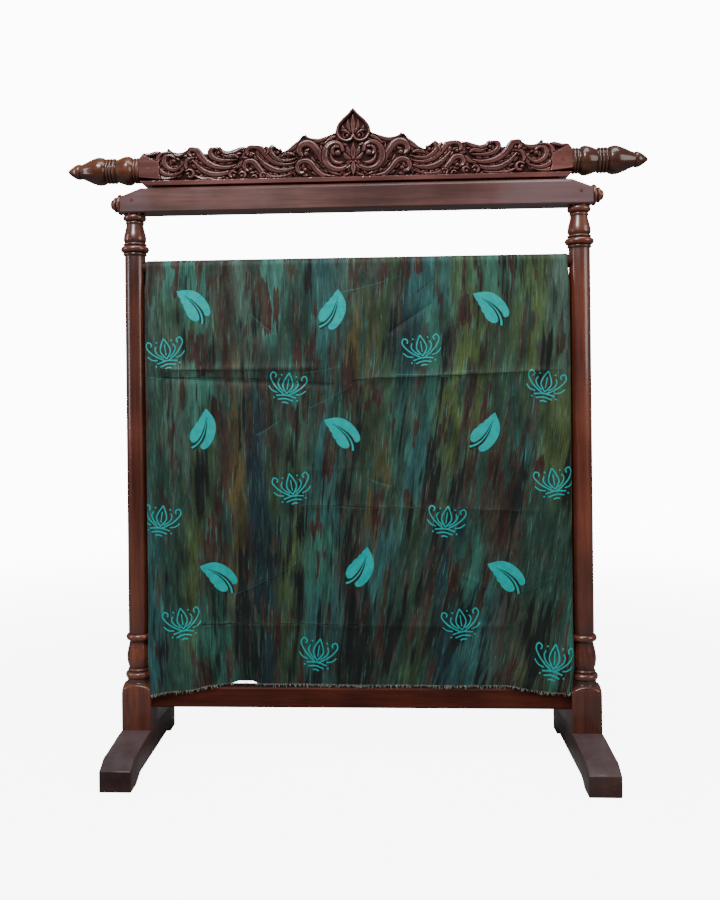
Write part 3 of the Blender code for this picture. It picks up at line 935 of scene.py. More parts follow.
@dataclass
class Foot:
    """Sawn foot, its arrises taken off."""

    name: str
    side: int
    half_width: float = 0.038
    half_length: float = 0.232
    toe_height: float = 0.051
    toe_slope: float = 0.038
    instep: float = 0.07
    pad: float = 0.045
    arch_run: float = 0.05
    arch_height: float = 0.016
    arris: float = 0.0022

    def outline(self) -> list[Point2]:
        """Side view, toe to toe over the top and back under the arch.

        Returns:
            Points of distance to the front and height.
        """
        length = self.half_length
        slope_end = length - self.toe_slope
        rise = flowing([(-slope_end, self.instep), (-0.15, 0.0725), (-0.105, 0.0765), (-0.065, 0.0795),
                        (-BLOCK_HALF, BLOCK_BOTTOM)], 4)
        top = [(-length, self.toe_height), *rise]
        top += [(-y, z) for y, z in reversed(top)]
        start = length - self.pad
        under = [(length, 0.004), (length - 0.004, 0.0), (start, 0.0)]
        for step in range(1, 9):
            share = step / 8
            under.append((start - self.arch_run * share, self.arch_height * float(eased(share, 0.0, 1.0))))
        under += [(-y, z) for y, z in reversed(under)]
        return top + under

    def build(self, finish: Material) -> None:
        """Saw the foot, ease its edges and add it.

        Args:
            finish: Its material.
        """
        centre = self.side * POST_X
        rings = [[(x, y, z) for y, z in self.outline()]
                 for x in (centre - self.half_width, centre + self.half_width)]
        blank = linked("foot_blank", lofted(rings))
        ease = blank.modifiers.new("arris", "BEVEL")
        ease.width = self.arris
        ease.segments = 3
        ease.limit_method = "ANGLE"
        ease.angle_limit = math.radians(32)
        add_piece(self.name + "_sawn", settled(blank), finish, (self.name,), 30.0)


# Carving
@dataclass(frozen=True)
class Stem:
    """Carved stem in board millimetres from the middle and from the foot, tail first."""

    path: tuple[Point2, ...]
    belly: float = 8.0
    tip: float = 4.0
    tail: float = 1.2
    eye: float = 0.0
    crown: float = 7.2
    grooves: int = 2
    leafy: bool = True

    def line(self) -> tuple[Array, Array]:
        """Smooth line of the stem and its half widths.

        Returns:
            Points in millimetres and the half width at each.
        """
        points = np.array(flowing(self.path, 6))
        run = np.linspace(0.0, 1.0, len(points))
        width = np.where(run < 0.5, self.tail + (self.belly - self.tail) * np.sin(run * math.pi),
                         self.belly + (self.tip - self.belly) * eased(run, 0.5, 1.0))
        return points, width

    def offshoots(self) -> list[Stem]:
        """Short fat leaves that spring from both sides of the stem.

        Returns:
            The leaves, which are carved lower than the stem.
        """
        if not self.leafy:
            return []
        points, width = self.line()
        found = []
        travelled = np.concatenate([[0.0], np.cumsum(np.hypot(*np.diff(points, axis=0).T))])
        marks = np.arange(10.0, travelled[-1], 9.5)
        for index, mark in enumerate(marks):
            at = int(np.searchsorted(travelled, mark))
            ahead = points[min(at + 1, len(points) - 1)] - points[at - 1]
            heading = math.atan2(ahead[1], ahead[0])
            side = 1 if index % 2 else -1
            reach = width[at] + 9.0
            mid, end = heading + side * 0.75, heading + side * 0.3
            root = points[at]
            knee = root + 0.65 * reach * np.array((math.cos(mid), math.sin(mid)))
            tip = knee + 0.75 * reach * np.array((math.cos(end), math.sin(end)))
            found.append(Stem((tuple(root), tuple(knee), tuple(tip)), 5.2, 1.2, 3.0, 0.0, 4.9, 1, False))
        return found


def bare(path: tuple[Point2, ...], *sizes: float, **more: float) -> Stem:
    """Stem without leaves."""
    return Stem(path, *sizes, **more, leafy=False)


def curled(eye: Point2, start: float, turn: float, outer: float, inner: float, steps: int = 7
           ) -> tuple[Point2, ...]:
    """Marks of a spiral that ends round an eye.

    Args:
        eye: Centre in millimetres.
        start: Angle at which it starts, in degrees.
        turn: Degrees it turns through, less than 0 for clockwise.
        outer: Radius at its start.
        inner: Radius at its end.
        steps: Number of marks after the first.

    Returns:
        The marks.
    """
    marks = []
    for step in range(steps + 1):
        share = step / steps
        angle = math.radians(start + turn * share)
        radius = outer + (inner - outer) * share
        marks.append((eye[0] + radius * math.cos(angle), eye[1] + radius * math.sin(angle)))
    return tuple(marks)


@dataclass
class CrestBoard:
    """Crest board with its scrolls carved in the front."""

    half_length: float = BOARD_HALF_LENGTH
    half_depth: float = 0.027
    corner: float = 0.022
    depth: float = 0.0105
    lift: float = 1.4
    strip: float = 0.0125
    full_hollow: float = 8.6
    blurs: int = 6
    columns: int = 960
    rows: int = 98

    line: tuple[Point2, ...] = (
        (0.0, 0.179), (0.013, 0.169), (0.026, 0.157), (0.037, 0.14), (0.05, 0.127),
        (0.076, 0.12), (0.1, 0.115), (0.11, 0.1175), (0.117, 0.1243), (0.124, 0.1265),
        (0.131, 0.1243), (0.138, 0.117),
        (0.15, 0.101), (0.17, 0.0865), (0.189, 0.077), (0.207, 0.0895), (0.228, 0.086),
        (0.26, 0.089), (0.3, 0.0845), (0.337, 0.087), (0.38, 0.085), (0.416, 0.0885),
        (0.455, 0.085), (0.474, 0.088), (0.492, 0.085), (0.531, 0.082),
    )

    def stems(self) -> list[Stem]:
        """Scrolling stems, from the ends to the middle.

        Returns:
            The stems, the last ones on top.
        """
        return [
            bare(((556, 18), (530, 25), (505, 22), (482, 18), (458, 22), (440, 32)), 5.5, 1.5),
            bare(((543, 82), (526, 80), (506, 84), (486, 79), (466, 70)), 5.0, 1.5, 2.5),
            Stem(((410, 24), (390, 16), (358, 13), (330, 18)), 5.0, 1.5),
            Stem(((428, 38), (432, 54), (424, 66), (408, 70)), 6.0, 2.0),
            Stem(((300, 40), (316, 32), (340, 26), (366, 27), (388, 37), (402, 50), (412, 62)), 7.5, 3.0),
            Stem(((290, 52), (304, 46), (330, 42), (358, 47), (380, 60), (392, 74), (402, 88), (416, 92),
                  (424, 84), (418, 75), (410, 77)), 9.0, 4.0, eye=4.8),
            Stem(((476, 92), (468, 82), (452, 77), (436, 81), (424, 90)), 6.5, 2.0, 3.0),
            Stem(((434, 60), (446, 46), (462, 39), (478, 45), (487, 58), (485, 72), (474, 78), (462, 72),
                  (462, 62)), 6.5, 4.0, eye=5.5, grooves=1),
            Stem(((434, 40), (452, 29), (474, 26), (494, 34), (504, 52), (502, 72), (490, 83), (470, 84)),
                 6.5, 3.0),
            bare(curled((421, 27), 40, 330, 13.0, 5.0), 3.8, 3.0, 2.4, 5.0, grooves=1),
            Stem(((298, 62), (320, 60), (344, 62), (362, 70), (368, 84), (358, 94), (346, 90), (346, 80)),
                 7.0, 3.5, eye=4.6),
            Stem(((343, 94), (336, 84), (320, 79), (302, 84), (286, 91), (270, 90)), 6.5, 2.5, 3.0),
            bare(curled((310, 23), 150, -300, 10.0, 4.0), 4.2, 3.4, 2.2, 4.6, grooves=1),
            bare(curled((284, 22), 20, 300, 9.0, 3.6), 4.0, 3.2, 2.2, 4.4, grooves=1),
            bare(((294, 66), (306, 73), (322, 70), (338, 76)), 6.0, 1.5),
            bare(((268, 62), (284, 54), (296, 44), (312, 40)), 6.0, 1.5),
            bare(((24, 50), (38, 47), (52, 54), (58, 70)), 5.0, 2.0),
            Stem(((145, 52), (170, 46), (195, 50), (213, 61), (226, 76), (240, 91), (258, 95), (271, 88),
                  (272, 76), (263, 72)), 8.5, 4.0, eye=5.0),
            Stem(((145, 40), (172, 32), (200, 33), (222, 44), (236, 58), (246, 70)), 8.0, 2.5),
            Stem(((150, 26), (177, 17), (206, 15), (229, 24), (244, 41), (256, 55), (272, 57), (280, 46),
                  (274, 34), (263, 36)), 7.5, 4.2, eye=5.2),
            bare(curled((232, 19), 160, -300, 9.0, 3.4), 3.0, 2.6, 1.8, 3.8, grooves=1),
            bare(curled((254, 15), 20, 300, 7.0, 3.0), 2.6, 2.2, 1.8, 3.4, grooves=1),
            Stem(((145, 62), (168, 56), (188, 58), (204, 68), (213, 82), (207, 93), (195, 94), (188, 85),
                  (193, 77)), 7.0, 4.0, eye=5.0),
            bare(((224, 92), (217, 84), (222, 72)), 5.0, 2.0, 3.4),
            Stem(((150, 70), (162, 74), (176, 72), (186, 64)), 6.0, 1.5),
            Stem(((120, 106), (138, 102), (150, 92), (164, 83), (184, 76)), 7.0, 1.5),
            Stem(((44, 124), (64, 114), (86, 106), (104, 107), (116, 112), (122, 119)), 6.0, 3.0),
            Stem(((4, 28), (14, 18), (34, 13), (60, 13), (80, 18), (96, 32), (108, 48), (122, 55), (137, 51),
                  (144, 38), (139, 26), (128, 25), (124, 32)), 7.0, 4.4, eye=5.6),
            Stem(((30, 16), (54, 24), (70, 42), (82, 62), (94, 82), (106, 96), (120, 100), (134, 94),
                  (139, 80), (131, 70), (121, 72)), 10.0, 5.0, eye=6.6),
            bare(curled((112, 13), 0, 300, 4.0, 2.0), 1.6, 1.4, 1.2, 3.4, grooves=0),
            Stem(((38, 116), (54, 112), (66, 102), (76, 96)), 5.5, 1.5),
            Stem(((3, 72), (4, 52), (18, 37), (40, 31), (60, 38), (72, 55), (73, 76), (63, 94), (46, 100),
                  (31, 93), (27, 79)), 8.5, 4.5, eye=0.0),
            bare(curled((44, 77), 120, -260, 13.0, 6.0), 4.6, 4.0, 3.0, 8.0, grooves=1),
        ]

    def heart(self) -> list[Stem]:
        """Palmette over the middle and the leaf under it.

        Returns:
            Its rim, petals and leaf.
        """
        return [
            bare(((0, 110), (10, 128), (14, 146)), 9.0, 1.5, 5.0, crown=3.6),
            bare(((6, 118), (22, 128), (27, 143)), 6.5, 1.2, 3.0, crown=4.6),
            bare(((4, 124), (12, 140), (13, 158)), 5.0, 1.0, 2.4, crown=5.4),
            bare(((0, 122), (0, 146), (0, 170)), 5.8, 0.8, 2.6, crown=7.0),
            bare(((8, 119), (20, 129), (32, 129)), 3.6, 1.0, 1.6, crown=6.0, grooves=1),
            bare(((0, 184), (12, 170), (27, 156), (38, 141), (41, 125), (34, 111), (20, 104), (7, 107),
                  (0, 117)), 3.6, 3.4, 3.0, crown=8.2, grooves=1),
            bare(curled((19, 116), 100, -280, 8.0, 4.0), 1.8, 1.6, 1.4, 4.6, grooves=0),
            bare(((3, 58), (16, 62), (25, 74)), 6.0, 1.2, 2.0, crown=5.6),
            bare(((2, 62), (11, 74), (16, 90)), 6.0, 1.2, 2.0, crown=6.2),
            bare(((0, 56), (0, 76), (0, 98)), 7.0, 1.2, 2.0, crown=6.8),
            bare(((0, 48), (9, 38), (20, 33)), 5.0, 1.5, 2.0),
            bare(((0, 50), (0, 34), (0, 15)), 7.0, 1.0, 2.0, crown=7.8),
        ]

    def carved(self) -> list[Stem]:
        """Everything that is carved, lowest first."""
        stems, heart = self.stems(), self.heart()
        return [leaf for stem in stems for leaf in stem.offshoots()] + stems + heart

    def relief(self, across: Array, up: Array) -> Array:
        """Height of the carving over its ground.

        Args:
            across: Millimetres from the middle, without sign.
            up: Millimetres over the board's foot.

        Returns:
            Height in millimetres.
        """
        height = 0.8 + 0.05 * np.sin(across * 0.9) * np.sin(up * 1.1)
        for stem in self.carved():
            points, half = stem.line()
            low, high = points.min(0) - 13.0, points.max(0) + 13.0
            near = (across > low[0]) & (across < high[0]) & (up > low[1]) & (up < high[1])
            if not near.any():
                continue
            place = np.stack([across[near], up[near]], axis=1)
            best = np.full(len(place), 1e9)
            share, side = np.zeros(len(place)), np.zeros(len(place))
            for index in range(len(points) - 1):
                run = points[index + 1] - points[index]
                along = np.clip(((place - points[index]) @ run) / max(run @ run, 1e-9), 0.0, 1.0)
                gap = place - points[index] - along[:, None] * run
                width = half[index] + (half[index + 1] - half[index]) * along
                ratio = np.hypot(*gap.T) / width
                closer = ratio < best
                best[closer] = ratio[closer]
                share[closer] = width[closer]
                side[closer] = np.sign(run[0] * gap[closer, 1] - run[1] * gap[closer, 0])
            dome = np.sqrt(np.clip(1 - best ** 2, 0, 1))
            body = stem.crown * (0.32 + 0.68 * dome)
            lean = best * side
            if stem.grooves:
                scoop = np.exp(-((lean + 0.1) / 0.36) ** 2) * np.clip(share / 5.0, 0, 1)
                body -= 0.15 * stem.crown * scoop
            if stem.grooves > 1:
                body -= 0.7 * np.exp(-((lean - 0.64) / 0.1) ** 2) * np.clip(share / 6.0, 0, 1)
            current = height[near]
            moat = np.minimum(current, 0.12 * stem.crown)
            outside = (best - 1) * share
            current = np.where(best < 1, body, np.where(outside < 1.0, moat, current))
            if stem.eye:
                gap = np.hypot(*(place - points[-1]).T) / stem.eye
                ball = (stem.crown + 1.0) * np.sqrt(np.clip(1 - 0.92 * gap ** 2, 0, 1))
                ring = (gap >= 1) & (gap < 1 + 1.1 / stem.eye)
                current = np.where(gap < 1, ball, np.where(ring, np.minimum(current, 1.2), current))
            height[near] = current
        return height * self.lift

    def outline(self, across: Array) -> tuple[Array, Array]:
        """Lower and upper edge of the board.

        Args:
            across: Metres from the middle, without sign.

        Returns:
            Height of each edge over the board's foot, in metres.
        """
        marks = np.array(self.line)
        drawn = np.interp(across, marks[:, 0], marks[:, 1])
        reach = np.clip(across - (self.half_length - self.corner), 0.0, self.corner)
        fall = self.corner - np.sqrt(np.maximum(self.corner ** 2 - reach ** 2, 0.0))
        envelope = drawn - 0.006 * eased(across, 0.515, 0.5)
        for stem in (*self.stems(), *self.heart()):
            points, half = stem.line()
            if stem.eye:
                points = np.vstack([points, points[-1]])
                half = np.append(half, stem.eye)
            for (x, z), width in zip(points, half):
                lift = np.sqrt(np.clip(width ** 2 - (across * 1000 - x) ** 2, 0, None))
                top = np.where(lift > 0, (z + lift) / 1000, 0.0)
                envelope = np.maximum(envelope, np.minimum(top, drawn + 0.0085))
        return fall, envelope - fall

    def mesh(self) -> Mesh:
        """Carve the front; sides and back are plain.

        Returns:
            The closed mesh, with its hollows marked.
        """
        x = np.linspace(-self.half_length, self.half_length, self.columns)
        low, high = self.outline(np.abs(x))
        share = np.linspace(0.0, 1.0, self.rows)
        z = low[:, None] + (high - low)[:, None] * share[None, :]
        across = np.repeat(np.abs(x)[:, None], self.rows, axis=1) * 1000
        up = z * 1000
        height = self.relief(across.ravel(), up.ravel()).reshape(z.shape)
        panel_edge = 500 - 7.0 * np.exp(-((up - 44) / 9.0) ** 2) + 4.5 * np.cos((up - 44) / 9.5)
        crack = 73.0 + 0.5 * (across - 527.0) + 1.2 * np.sin(across * 0.9)
        panel = np.minimum(across - panel_edge, np.minimum(up - 18.0 - 0.1 * (across - 525), crack - up))
        height = self.with_field(height, panel)
        height = self.with_field(height, self.strip * 1000 - up)
        height = np.minimum(height, self.depth * 1000 + 1.0)
        y = -self.half_depth + (self.depth - height / 1000)
        front = np.stack([np.repeat(x[:, None], self.rows, axis=1), y, z + BOARD_BOTTOM], axis=2)
        mesh = self.closed(front, x, low, high)
        blurred = height.copy()
        for _pass in range(self.blurs):
            middle = blurred[1:-1, 1:-1] * 0.4 + 0.15 * (
                blurred[:-2, 1:-1] + blurred[2:, 1:-1] + blurred[1:-1, :-2] + blurred[1:-1, 2:])
            blurred[1:-1, 1:-1] = middle
        # How deep the carving lies below its top, plus its cavities against the blurred surface round them;
        # the wood darkens there with stain and with painted shade.
        deep = np.clip((self.depth * 1000 - height) / self.full_hollow, 0, 1) ** 1.3
        deep = np.clip(deep + np.clip((blurred - height) / 1.9, 0, 1) * 0.6, 0, 1)
        proud = np.clip((height - blurred) / 1.6, 0, 1)
        rest = np.zeros(2 * self.columns)
        give(mesh, "hollow", np.concatenate([deep.ravel(), rest]))
        give(mesh, "ridge", np.concatenate([proud.ravel(), rest]))
        return mesh

    def with_field(self, height: Array, inside: Array) -> Array:
        """Leave a plain field standing, with a groove along its edge.

        Args:
            height: Height so far, in millimetres.
            inside: Millimetres inside the field's edge, less than 0 outside.

        Returns:
            The new height.
        """
        field = self.depth * 1000 * eased(inside, 0.0, 0.9)
        height = np.where(inside > 0, field, height)
        return np.where((inside <= 0) & (inside > -1.2), np.minimum(height, 1.0), height)

    def closed(self, front: Array, x: Array, low: Array, high: Array) -> Mesh:
        """Close the carved front with edges and a back.

        Args:
            front: Grid of the front's points.
            x: Place of each column.
            low: Lower edge at each column.
            high: Upper edge at each column.

        Returns:
            The closed mesh.
        """
        columns, rows = front.shape[:2]
        back = np.empty((columns, 2, 3))
        back[:, :, 0] = x[:, None]
        back[:, :, 1] = self.half_depth
        back[:, 0, 2] = low + BOARD_BOTTOM
        back[:, 1, 2] = high + BOARD_BOTTOM
        vertices = np.concatenate([front.reshape(-1, 3), back.reshape(-1, 3)])
        first = columns * rows
        faces: list[tuple[int, ...]] = []
        for column in range(columns - 1):
            here, there = column * rows, (column + 1) * rows
            for row in range(rows - 1):
                faces.append((here + row, there + row, there + row + 1, here + row + 1))
            rear, beside = first + 2 * column, first + 2 * column + 2
            faces.append((rear, rear + 1, beside + 1, beside))
            faces.append((here, rear, beside, there))
            faces.append((here + rows - 1, there + rows - 1, beside + 1, rear + 1))
        faces.append((*range(rows - 1, -1, -1), first, first + 1))
        last = (columns - 1) * rows
        faces.append((*range(last, last + rows), first + 2 * columns - 1, first + 2 * columns - 2))
        return closed_mesh(vertices, faces)

    def build(self, finish: Material) -> None:
        """Add the board."""
        add_piece("crest_board_carved", self.mesh(), finish, ("crest_board",), 62.0)


# Cloth
@dataclass
class Hang:
    """How the flat sheet lies over the bar: flat width a, flat length v from the front hem."""

    path_radius: float = BAR_R + 0.001 + 0.0007
    width: float = 2 * HALF_WIDTH
    margin_start: float = 0.5325
    margin_radius: float = 0.01
    margin_bow: float = 0.0065
    swing: float = 0.0135
    lowest: float = HEM_Z
    free: float = 0.343
    back_hem: float = 0.262
    back_wave: float = 0.004
    hem_reach: float = 0.519
    margin_on_bar: float = 0.14

    hem: tuple[Point2, ...] = (
        (-0.56, 0.186), (-0.52, 0.17), (-0.48, 0.179), (-0.42, 0.182), (-0.385, 0.192),
        (-0.322, 0.1955), (-0.304, 0.202), (-0.268, 0.2028), (-0.252, 0.1955), (0.0, 0.1945),
        (0.2, 0.1945), (0.38, 0.194), (0.44, 0.186), (0.51, 0.181), (0.56, 0.19),
    )
    spread: tuple[Point2, ...] = (
        (0.15, 0.5265), (0.205, 0.5265), (0.25, 0.532), (0.345, 0.5322), (0.42, 0.5325),
        (1.3, 0.5325),
    )
    freedom: tuple[Point3, ...] = (
        (0.15, 0.28, 1.1), (0.21, 0.28, 1.1), (0.34, 1.0, 3.0), (1.13, 1.0, 3.0),
        (1.225, 0.2, 0.5), (1.262, 0.14, 0.0), (1.3, 0.14, 0.0),
    )
    # Folds and creases of the front drop: from, to, push towards the viewer, width
    folds: tuple[tuple[float, ...], ...] = (
        (-0.53, 1.002, -0.07, 1.004, 0.0042, 0.009), (-0.53, 0.981, -0.04, 0.957, -0.0036, 0.008),
        (-0.01, 0.973, 0.53, 0.992, 0.0044, 0.009), (-0.031, 0.955, -0.012, 0.55, -0.0036, 0.012),
        (-0.012, 0.55, 0.033, 0.2, -0.0036, 0.012), (0.078, 1.084, 0.2, 1.17, -0.004, 0.009),
        (0.15, 1.186, 0.204, 1.232, -0.0026, 0.007), (-0.51, 0.346, 0.46, 0.343, 0.002, 0.007),
        (-0.205, 0.651, 0.515, 0.634, 0.0018, 0.008), (0.399, 0.93, 0.405, 0.7, -0.0024, 0.012),
        (-0.44, 0.42, -0.47, 0.2, -0.0045, 0.024), (-0.395, 0.4, -0.405, 0.2, 0.003, 0.022),
        (0.405, 0.36, 0.43, 0.2, -0.003, 0.024), (-0.043, 1.194, 0.117, 1.236, -0.0016, 0.006),
        (-0.269, 1.144, -0.205, 1.091, -0.0016, 0.006), (-0.318, 0.423, -0.153, 0.506, 0.0016, 0.005),
        (0.263, 0.477, 0.335, 0.439, 0.0016, 0.005), (0.412, 0.431, 0.494, 0.468, 0.0016, 0.005),
        (-0.258, 0.832, -0.195, 0.872, -0.0016, 0.005), (-0.18, 0.738, 0.06, 0.752, 0.001, 0.006),
        (0.03, 0.72, 0.09, 0.7, -0.0012, 0.006), (-0.33, 0.42, -0.33, 0.23, 0.0016, 0.01),
        (-0.499, 1.24, -0.493, 0.72, -0.0022, 0.006), (0.16, 0.64, 0.15, 0.38, 0.0012, 0.012),
        (0.23, 0.3, 0.25, 0.2, 0.0018, 0.014), (-0.13, 0.3, -0.125, 0.2, -0.0018, 0.014),
    )

    def flat_length(self) -> float:
        """Length of the sheet along its middle."""
        return (BAR_Z - self.lowest) + math.pi * self.path_radius + (BAR_Z - self.back_hem)

    def fold_push(self, x: Array, z: Array) -> Array:
        """Total push of the folds.

        Args:
            x: Place across.
            z: Height.

        Returns:
            Push towards the viewer.
        """
        total = np.zeros_like(x)
        for x0, z0, x1, z1, push, width in self.folds:
            run_x, run_z = x1 - x0, z1 - z0
            along = ((x - x0) * run_x + (z - z0) * run_z) / (run_x ** 2 + run_z ** 2)
            nearest = np.clip(along, 0.0, 1.0)
            off = np.hypot(x - x0 - nearest * run_x, z - z0 - nearest * run_z)
            ends = eased(nearest, 0.0, 0.12) * eased(nearest, 1.0, 0.88)
            total += push * ends * np.exp(-(off / width) ** 1.3)
        return total

    def bow(self, x: Array, z: Array) -> Array:
        """How far both drops bow outwards beside their margins."""
        return self.margin_bow * eased(np.abs(x), 0.43, 0.52) * eased(z, BAR_Z - 0.006, BAR_Z - 0.07)

    def front_push(self, x: Array, z: Array) -> Array:
        """How far the front drop stands forward of a plumb sheet.

        Args:
            x: Place across.
            z: Height.

        Returns:
            The distance.
        """
        below = eased(z, BAR_Z - 0.01, BAR_Z - 0.2)
        billow = 0.003 * np.sin(5.2 * x + 0.6) * np.sin(3.4 * z + 0.3)
        flutes = 0.0018 * np.sin(27.0 * x + 1.1 + 2.0 * z) * eased(z, 0.8, 0.25)
        beside = eased(x, -0.335, -0.4) + eased(x, 0.365, 0.43)
        corners = self.swing * beside * eased(z, 0.385, 0.215)
        pressed = below * (0.0022 + billow + flutes + self.fold_push(x, z))
        return pressed + self.bow(x, z) + corners

    def back_push(self, x: Array, z: Array) -> Array:
        """How far the back drop stands away from a plumb sheet."""
        below = eased(z, BAR_Z - 0.01, BAR_Z - 0.2)
        billow = 0.0035 * np.sin(4.3 * x - 0.8) * np.sin(3.0 * z + 1.0)
        return below * (0.003 + billow) + self.bow(x, z)

    def drop(self, a: Array, z: Array, front: bool) -> Array:
        """Points of a hanging drop.

        Args:
            a: Flat width from the middle.
            z: Height.
            front: Whether it is the front drop.

        Returns:
            Points, three columns.
        """
        spread = np.array(self.spread)
        freedom = np.array(self.freedom)
        start = np.interp(z, spread[:, 0], spread[:, 1])
        share = np.interp(z, freedom[:, 0], freedom[:, 1])
        roll = np.interp(z, freedom[:, 0], freedom[:, 2])
        flat = np.minimum(np.abs(a), self.margin_start)
        beyond = (np.abs(a) - flat) * share
        turn = np.minimum(beyond / self.margin_radius, roll)
        tail = beyond - turn * self.margin_radius
        sideways = self.margin_radius * np.sin(turn) + tail * np.cos(turn)
        inward = self.margin_radius * (1 - np.cos(turn)) + tail * np.sin(turn)
        x = np.sign(a) * (flat * start / self.margin_start + sideways)
        if front:
            y = -self.path_radius - self.front_push(np.sign(a) * flat, z) + inward
        else:
            y = self.path_radius + self.back_push(np.sign(a) * flat, z) - inward
        return np.stack([x, y, z], axis=1)

    def place(self, a: Array, v: Array) -> Array:
        """Where points of the flat sheet hang.

        Args:
            a: Flat width from the middle.
            v: Flat length from the front hem.

        Returns:
            Points, three columns.
        """
        drop = BAR_Z - self.lowest
        wrap = math.pi * self.path_radius
        mark = self.lowest + np.clip(v, 0.0, drop)
        across = np.sign(a) * np.minimum(np.abs(a), self.margin_start) * self.hem_reach / self.margin_start
        hem = np.array(self.hem)
        hem_z = np.interp(across, hem[:, 0], hem[:, 1])
        front_z = mark + (hem_z - self.lowest) * (1 - eased(mark, self.lowest, self.free))
        front = self.drop(a, front_z, True)
        angle = np.clip((v - drop) / self.path_radius, 0.0, math.pi)
        flat = np.minimum(np.abs(a), self.margin_start)
        over = np.stack([np.sign(a) * (flat + (np.abs(a) - flat) * self.margin_on_bar),
                         -self.path_radius * np.cos(angle),
                         BAR_Z + self.path_radius * np.sin(angle)], axis=1)
        share = np.clip((v - drop - wrap) / (BAR_Z - self.back_hem), 0.0, 1.0)
        back_hem = self.back_hem + self.back_wave * np.sin(6.0 * a)
        back = self.drop(a, BAR_Z + (back_hem - BAR_Z) * share, False)
        points = np.where((v <= drop)[:, None], front, over)
        return np.where((v > drop + wrap)[:, None], back, points)


@dataclass
class Stamp:
    """Shapes stamped on the flat cloth, with painted highlight and shade lines along its folds, each a
    closed outline in metres.
    """

    leaf_length: float = 0.108
    leaf_drawn: float = 112.0
    line: float = 0.0033
    dot: float = 0.0022
    repeat: float = 1.06

    leaves: tuple[Point3, ...] = (
        (-0.418, 1.168, 137), (-0.058, 1.151, 72), (0.343, 1.152, 140), (-0.395, 0.848, 78),
        (-0.038, 0.837, 142), (0.327, 0.836, 62), (-0.359, 0.469, 150), (0.006, 0.494, 68),
        (0.374, 0.471, 145),
    )
    buds: tuple[Point3, ...] = (
        (-0.486, 1.04, 10), (-0.176, 0.948, -9), (0.17, 1.04, 8), (0.478, 0.945, -10),
        (-0.505, 0.61, -9), (-0.165, 0.69, 10), (0.225, 0.605, -8), (0.498, 0.7, 9),
        (-0.452, 0.345, 9), (-0.105, 0.268, -10), (0.262, 0.345, 8), (0.49, 0.262, -8),
    )
    # Painted highlights: faint pale lines along the folds, where they catch the light.
    fold_highlights: tuple[tuple[float, float, float, float], ...] = (
        (-0.269, 1.144, -0.205, 1.091), (-0.043, 1.194, 0.117, 1.236), (-0.318, 0.423, -0.153, 0.506),
        (0.263, 0.477, 0.335, 0.439), (0.412, 0.431, 0.494, 0.468), (-0.258, 0.832, -0.195, 0.872),
        (0.03, 0.72, 0.09, 0.7), (-0.13, 0.992, -0.04, 1.008), (-0.53, 0.984, -0.33, 0.975),
        (0.1, 0.984, 0.3, 0.992), (-0.545, 1.11, -0.525, 1.132), (-0.12, 0.9, -0.01, 0.96),
    )
    # Painted shade: dark lines along the folds.
    fold_shade_lines: tuple[tuple[Point2, ...], ...] = (
        ((-0.505, 1.003), (-0.3, 0.998), (-0.08, 0.996)),
        ((-0.52, 0.983), (-0.3, 0.979), (-0.06, 0.962)),
        ((-0.01, 0.972), (0.25, 0.98), (0.52, 0.99)),
        ((-0.033, 0.95), (-0.028, 0.76), (-0.013, 0.56)),
        ((-0.012, 0.54), (0.012, 0.38), (0.033, 0.206)),
        ((-0.45, 0.346), (-0.2, 0.35), (0.04, 0.344)),
        ((-0.15, 0.652), (0.1, 0.646), (0.42, 0.636)),
        ((0.398, 0.925), (0.403, 0.82), (0.405, 0.71)),
        ((-0.496, 1.23), (-0.498, 1.0), (-0.493, 0.74)),
        ((0.084, 1.092), (0.095, 1.101), (0.135, 1.127)),
        ((0.092, 1.0995), (0.15, 1.136), (0.196, 1.166)),
        ((0.156, 1.192), (0.18, 1.21), (0.201, 1.228)),
    )

    def strip(self, points: Sequence[Point2], width: float, thin: float = 1.0) -> list[Point2]:
        """Outline of a drawn line.

        Args:
            points: Marks that it passes.
            width: Its width.
            thin: Share of the width that is left at its end.

        Returns:
            The closed outline.
        """
        line = np.array(flowing(points, 5))
        run = np.gradient(line, axis=0)
        run /= np.linalg.norm(run, axis=1, keepdims=True)
        side = np.stack([-run[:, 1], run[:, 0]], axis=1)
        half = width / 2 * np.linspace(1.0, thin, len(line))
        left = line + side * half[:, None]
        right = line - side * half[:, None]
        return [tuple(point) for point in (*left, *right[::-1])]

    def leaf(self) -> list[list[Point2]]:
        """Broad leaf, tip up, its rib bending out to the left into the stalk.

        Returns:
            Outlines: the blade, the rib, and the dark slit round the rib.
        """
        right = [(-1.0, 57.0), (9.0, 49.0), (21.0, 38.0), (30.0, 25.0), (34.5, 8.0), (34.5, -10.0),
                 (31.0, -27.0), (24.0, -42.0), (15.0, -50.5), (6.5, -50.0), (3.0, -43.0), (8.0, -32.0),
                 (11.0, -14.0), (10.2, 8.0), (7.0, 24.0), (4.6, 34.0)]
        left = [(3.6, 34.0), (3.4, 24.0), (2.6, 8.0), (-0.8, -12.0), (-6.0, -26.0), (-12.5, -36.5),
                (-21.0, -38.5), (-29.0, -30.0), (-30.5, -17.0)]
        lobes = ([(-30.5, -17.0), (-28.0, -5.0), (-21.5, 4.0)], [(-23.5, 4.5), (-21.0, 13.0), (-13.5, 21.0)],
                 [(-15.5, 21.5), (-13.5, 29.0), (-8.0, 36.0)], [(-9.5, 36.5), (-7.5, 45.0), (-1.0, 57.0)])
        outline = flowing(right, 4) + flowing(left, 4)
        for lobe in lobes:
            outline += flowing(lobe, 3)[:-1]
        rib = [(4.8, 29.0), (6.2, 8.0), (4.6, -13.0), (-0.4, -30.0), (-9.0, -44.0), (-19.0, -53.0)]
        size = self.leaf_length / self.leaf_drawn
        outline = [(x * size, z * size) for x, z in outline]
        rib = [(x * size, z * size) for x, z in reversed(rib)]
        return [outline, self.strip(rib, 0.006, 0.22), self.strip(rib, 0.015, 0.28)]

